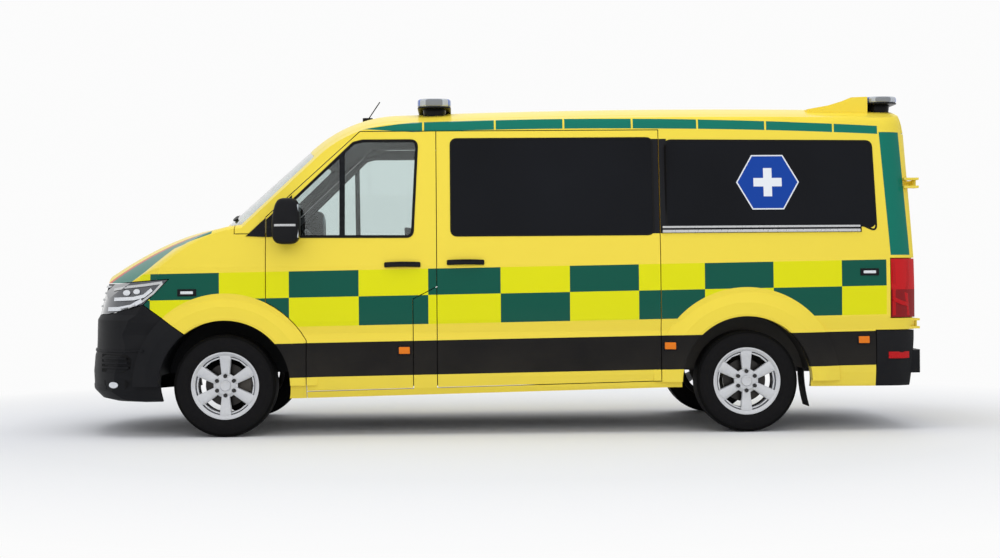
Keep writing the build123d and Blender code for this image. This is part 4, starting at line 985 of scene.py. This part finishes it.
# the fog lamp's near-black bed is painted shade of its recess
fog_bed = side_plate([(0.860, 0.330), (0.865, 0.395), (0.700, 0.400), (0.670, 0.375), (0.700, 0.335)],
                     -0.004, 0.003)
settle(fog_bed, corner, 0, "fog_lamp_bed", painted_shade_black)
fog = side_plate(oval(0.790, 0.364, 0.036, 0.022), -0.002, 0.012)
settle(fog, corner, (0.004, 3), "fog_lamp", white_lens)
plate_blank, *_ = mottled("plate_blank", (226, 226, 222), (240, 240, 237), 20.0, Roughness=0.35)
plate = nose_band(-0.26, 0.26, (0.700, 0.700), (0.811, 0.811), 0.001, 0.012, 12)
round_edges(plate, 0.002)
fit(plate, "front_plate", plate_blank, "body")

# ---------------------------------------------------------------------------
# Light bars: a clear lens over rows of lamp modules, on a narrower black
# foot that is bolted to the roof; the rear one stands behind the fairing.
# ---------------------------------------------------------------------------
bar_lens, tree, shader = new_material("bar_lens", Coat_Weight=1.0, Metallic=0.25)
place, _, y, _ = object_place(tree)
module_half = 0.080
module_gap = y.math("PINGPONG", module_half) < 0.006
module_glow = (y + module_half).math("PINGPONG", module_half) < 0.045
color = over(linear(176, 182, 190), module_glow, linear(70, 104, 186))
over(color, module_gap, linear(120, 124, 130)).feed(shader.inputs["Base Color"])
(noise(tree, place, 40.0) * 0.1 + 0.08).feed(shader.inputs["Roughness"])


def rounded_bar(back, fore, half, bottom, top, corner, taper=1.0):
    """A bar across the roof with rounded ends in plan; its foot is narrower by the taper."""
    middle = front_axle_x + (back + fore) / 2
    bar = block((middle, 0, (bottom + top) / 2), (fore - back, half * 2, top - bottom))
    bpy.ops.object.mode_set(mode="EDIT")
    bpy.ops.mesh.select_mode(type="EDGE")
    bpy.ops.mesh.select_all(action="DESELECT")
    bpy.ops.object.mode_set(mode="OBJECT")
    for edge in bar.data.edges:
        ends = [bar.data.vertices[index].co for index in edge.vertices]
        edge.select = abs(ends[0].z - ends[1].z) > 0.01
    bpy.ops.object.mode_set(mode="EDIT")
    bpy.ops.mesh.bevel(offset=corner, segments=6)
    bpy.ops.object.mode_set(mode="OBJECT")
    for vertex in bar.data.vertices:
        if vertex.co.z < (bottom + top) / 2:
            vertex.co.x = middle + (vertex.co.x - middle) * taper
    return bar


for name, back, fore, lens_bottom, top in (("front", -1.582, -1.341, 2.322, 2.384),
                                           ("rear", -4.819, -4.588, 2.336, 2.384)):
    lens = rounded_bar(back, fore, 0.640, lens_bottom, top, 0.090)
    round_edges(lens, 0.016, 4)
    fit(lens, f"{name}_bar_lens", bar_lens, "body")
    foot = rounded_bar(back + 0.035, fore - 0.035, 0.560, 2.255, lens_bottom + 0.004, 0.060, 0.86)
    round_edges(foot, 0.004)
    fit(foot, f"{name}_bar_foot", gloss_black, "body")
    trim = rounded_bar(back, fore, 0.640, lens_bottom - 0.006, lens_bottom + 0.004, 0.090)
    round_edges(trim, 0.002)
    fit(trim, f"{name}_bar_trim", gloss_black, "body")
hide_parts("light_bars")

# ---------------------------------------------------------------------------
# Door mirrors: a rounded black housing on a short arm off the cab door, with
# a bright strip across it and two panes of mirror glass on its rear face.
# ---------------------------------------------------------------------------
shell_x, shell_y, shell_z = front_axle_x - 0.445, 1.124, 1.493
half_long, half_high = 0.099, 0.159
shell = block((shell_x, shell_y, shell_z), (0.198, 0.186, 0.318))
divide(1)
for vertex in shell.data.vertices:
    up = (vertex.co.z - shell_z) / half_high
    ahead_share = (vertex.co.x - shell_x) / half_long
    vertex.co.x -= 0.030 * max(0.0, up) ** 3 * max(0.0, ahead_share)
    vertex.co.y -= 0.028 * abs(up) ** 3 * (1 if vertex.co.y > shell_y else 0)
smoothing = shell.modifiers.new("smoothing", "SUBSURF")
smoothing.levels = smoothing.render_levels = 4
bpy.ops.object.modifier_apply(modifier="smoothing")
arm = block((front_axle_x - 0.440, 1.000, 1.398), (0.080, 0.150, 0.044))
pick_faces(arm, faces_out)
bpy.ops.transform.resize(value=(0.8, 1, 0.75))
bpy.ops.object.mode_set(mode="OBJECT")
round_edges(arm, 0.010, 3)
mirror_body = joined([shell, arm])
depsgraph = bpy.context.evaluated_depsgraph_get()
mirror_shell = [BVHTree.FromObject(mirror_body, depsgraph)]
both_walls(mirror_body, "mirror_shell", black_plastic, door_bodies)
for side_name in ("left", "right"):
    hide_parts(f"mirror_{side_name}")
strip = strip_along([(-0.372, 1.463), (-0.518, 1.463)], 0.016, -0.002, 0.004)
settle(strip, mirror_shell, 0.002, "mirror_repeater", bright_strip, door_bodies)
mirror_glass, *_ = mottled("mirror_glass", (176, 182, 188), (192, 197, 202), 3.0, Metallic=1.0,
                           Roughness=0.03)
mirror_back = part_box("mirror_left")[0][0]
for name, bottom, top in (("main", 1.456, 1.606), ("wide", 1.378, 1.442)):
    pane = block((mirror_back + 0.004, 1.118, (bottom + top) / 2), (0.008, 0.126, top - bottom))
    step_faces(pane, lambda middle, normal: normal.x < -0.9, (0.006, (-0.002, 0, 0)))
    round_edges(pane, 0.001)
    both_walls(pane, f"mirror_glass_{name}", mirror_glass, door_bodies)

# ---------------------------------------------------------------------------
# Seats: foam cushions in woven covers, with side bolsters and a sewn channel,
# each on a painted steel stand, with a head restraint on two posts.
# ---------------------------------------------------------------------------


def cushion(name, place, size, turn, crown=0.16):
    """A crowned closed pad: a cube, divided, pulled in between its corners, and smoothed."""
    start_piece()
    bpy.ops.mesh.primitive_cube_add(size=1)
    pad = bpy.context.object
    divide(7)
    for vertex in pad.data.vertices:
        across, along, up = (2 * value for value in vertex.co)
        dome = (1 - across ** 4) * (1 - along ** 4)
        bolster = 0.10 * max(0.0, 1 - ((abs(along) - 0.74) / 0.22) ** 2)
        channel = (0.05 * math.exp(-((abs(along) - 0.5) / 0.05) ** 2)
                   + 0.04 * math.exp(-((across - 0.1) / 0.05) ** 2))
        vertex.co.z *= 1 - crown + crown * dome
        if up > 0.6:
            vertex.co.z += bolster - channel * (1 if abs(along) < 0.6 else 0.3)
        vertex.co.x *= 1 - 0.05 * (1 - abs(up)) ** 2 if abs(across) > 0.9 else 1
    smoothing = pad.modifiers.new("smoothing", "SUBSURF")
    smoothing.levels = smoothing.render_levels = 1
    bpy.context.view_layer.objects.active = pad
    bpy.ops.object.modifier_apply(modifier="smoothing")
    turned = Matrix.Translation(place) @ Matrix.Rotation(turn, 4, "Y")
    pad.data.transform(turned @ Matrix.Diagonal((*size, 1)))
    fit(pad, name, seat_cloth, "body")


seat_frame = rough_metal("seat_frame", linear(40, 41, 44), 0.2, 0.5, 0.2)
for side_name, sign in (("left", 1), ("right", -1)):
    middle_y = sign * 0.45
    cushion(f"seat_cushion_{side_name}", (front_axle_x - 1.085, middle_y, 0.830), (0.46, 0.49, 0.14), -0.07)
    cushion(f"seat_back_{side_name}", (front_axle_x - 1.352, middle_y, 1.165), (0.62, 0.48, 0.12),
            math.radians(-78))
    cushion(f"head_restraint_{side_name}", (front_axle_x - 1.425, middle_y, 1.590), (0.15, 0.27, 0.085),
            math.radians(-84), 0.3)
    stand = block((front_axle_x - 1.14, middle_y, 0.645), (0.40, 0.41, 0.21))
    pick_faces(stand, lambda middle, normal: abs(normal.y) > 0.9)
    bpy.ops.mesh.inset(thickness=0.03)
    bpy.ops.mesh.extrude_region_shrink_fatten(TRANSFORM_OT_shrink_fatten={"value": -0.006})
    bpy.ops.object.mode_set(mode="OBJECT")
    round_edges(stand, 0.006)
    fit(stand, f"seat_stand_{side_name}", seat_frame, "body")
    for post_y in (-0.06, 0.06):
        start_piece()
        bpy.ops.mesh.primitive_cylinder_add(vertices=16, radius=0.007, depth=0.12,
                                            location=(front_axle_x - 1.41, middle_y + post_y, 1.515))
        post = bpy.context.object
        apply_place(post)
        round_edges(post, 0.001)
        reach = "inner" if post_y * sign < 0 else "outer"
        fit(post, f"restraint_post_{side_name}_{reach}", bright_strip, "body")
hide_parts("cab_seats")

# ---------------------------------------------------------------------------
# Tail lamp detail: a raised upper field, a lower field and a slanted rib, all
# moulded in red in the lenses beside the rear doors.
# ---------------------------------------------------------------------------
tail_wall = surface_of("tail_lamps")
for name, outline in (
        ("field", [(-4.672, 1.196), (-4.800, 1.196), (-4.806, 1.060), (-4.790, 0.985), (-4.672, 1.030)]),
        ("foot", [(-4.672, 1.008), (-4.790, 0.962), (-4.806, 0.806), (-4.672, 0.806)])):
    field = side_plate(outline, -0.004, 0.005)
    settle(field, tail_wall, 0.003, f"tail_lamp_{name}", red_lens)
rib = strip_along([(-4.676, 0.925), (-4.730, 0.900), (-4.796, 0.880)], 0.030, -0.002, 0.008)
settle(rib, tail_wall, 0.003, "tail_lamp_window", red_lens)

# ---------------------------------------------------------------------------
# Rear doors: a pull handle, a blank plate in its recess, black frames round
# the panes, wiper arms and a high brake lamp; each rides on its own door.
# ---------------------------------------------------------------------------
rear_wall = surface_of("rear_door_left", "rear_door_right", "rear_glass_left", "rear_glass_right",
                       "rear_bumper")


def lay_on_rear(piece):
    """Every point keeps its distance behind the rear doors."""
    last = rear_axle_x - 1.2
    for vertex in piece.data.vertices:
        found = surface_hit(rear_wall, (-4, vertex.co.y, vertex.co.z), (1, 0, 0))
        last = found.x if found is not None else last
        vertex.co.x = last - vertex.co.x
    piece.data.update()


def rear_plate(points, low, high):
    """A plate with its outline in rear view, (y, height), standing low to high off the rear doors."""
    start_piece()
    bpy.ops.mesh.primitive_circle_add(vertices=len(points), radius=1, fill_type="NGON")
    plate = bpy.context.object
    for vertex, (y, height) in zip(plate.data.vertices, points):
        vertex.co = (low, y, height)
    bpy.ops.object.mode_set(mode="EDIT")
    bpy.ops.mesh.select_all(action="SELECT")
    bpy.ops.mesh.extrude_region_move(TRANSFORM_OT_translate={"value": (high - low, 0, 0)})
    bpy.ops.mesh.subdivide(number_cuts=1)
    bpy.ops.object.mode_set(mode="OBJECT")
    lay_on_rear(plate)
    bpy.ops.object.mode_set(mode="EDIT")
    bpy.ops.mesh.select_all(action="SELECT")
    bpy.ops.mesh.normals_make_consistent(inside=False)
    bpy.ops.object.mode_set(mode="OBJECT")
    return plate


def rear_box(y_from, y_to, bottom, top, low, high):
    """A rectangle in rear view."""
    return rear_plate([(y_from, bottom), (y_to, bottom), (y_to, top), (y_from, top)], low, high)


back_bodies = ("back_door_left", "back_door_right")
for name, y_from, y_to, bottom, top, low, high, rounding, finish in (
        ("window_frame_top", 0.075, 0.715, 2.028, 2.042, -0.003, 0.004, 0.001, rubber_black),
        ("window_frame_foot", 0.075, 0.770, 1.388, 1.402, -0.003, 0.004, 0.001, rubber_black),
        ("window_frame_inner", 0.073, 0.087, 1.388, 2.042, -0.003, 0.004, 0.001, rubber_black),
        ("wiper_arm", 0.330, 0.352, 1.385, 1.760, 0.010, 0.022, 0.004, black_plastic),
        ("wiper_foot", 0.310, 0.372, 1.335, 1.398, -0.004, 0.026, 0.010, black_plastic),
        ("handle_bed", -0.230, -0.030, 1.130, 1.230, -0.004, 0.004, 0.004, gloss_black),
        ("handle_bar", -0.215, -0.045, 1.160, 1.195, 0.004, 0.034, 0.008, black_plastic)):
    strip = rear_box(y_from, y_to, bottom, top, low, high)
    round_edges(strip, rounding)
    if name.startswith("handle"):
        fit(strip, f"rear_{name}", finish, "back_door_right")
    else:
        both_walls(strip, f"rear_{name}", finish, back_bodies)
recess = rear_box(0.080, 0.660, 0.840, 1.000, -0.004, 0.003)
round_edges(recess, 0.002)
fit(recess, "rear_plate_bed", gloss_black, "back_door_left")
plate = rear_box(0.110, 0.630, 0.865, 0.975, 0.003, 0.008)
round_edges(plate, 0.002)
fit(plate, "rear_plate", plate_blank, "back_door_left")
for name, sign in (("left", 1), ("right", -1)):
    lamp = rear_box(sign * 0.560, sign * 0.700, 2.058, 2.084, -0.004, 0.010)
    round_edges(lamp, 0.004)
    fit(lamp, f"high_lamp_{name}", red_lens, f"back_door_{name}")

# ---------------------------------------------------------------------------
# Windscreen wipers: black arms with rubber blades, pivoted below the screen,
# that rest along its foot.
# ---------------------------------------------------------------------------
screen = surface_of("windscreen", "body_shell", "bonnet")
for number, (foot_y, tip_y) in enumerate(((0.62, 0.02), (0.02, -0.58))):
    for name, from_share, to_share, width, low, high in (("arm", 0.0, 0.62, 0.016, 0.006, 0.022),
                                                         ("blade", 0.22, 1.0, 0.012, 0.000, 0.012)):
        start_piece()
        bpy.ops.mesh.primitive_grid_add(x_subdivisions=12, y_subdivisions=2, size=1)
        strip = bpy.context.object
        for vertex in strip.data.vertices:
            share = from_share + (to_share - from_share) * (vertex.co.x + 0.5)
            vertex.co = (low, foot_y + (tip_y - foot_y) * share, 1.520 + 0.060 * share + vertex.co.y * width)
        thicken((high - low, 0, 0))
        lay_on(strip, screen, "x")
        round_edges(strip, 0.002)
        fit(strip, f"wiper_{name}_{number + 1}", rubber_black, "body")
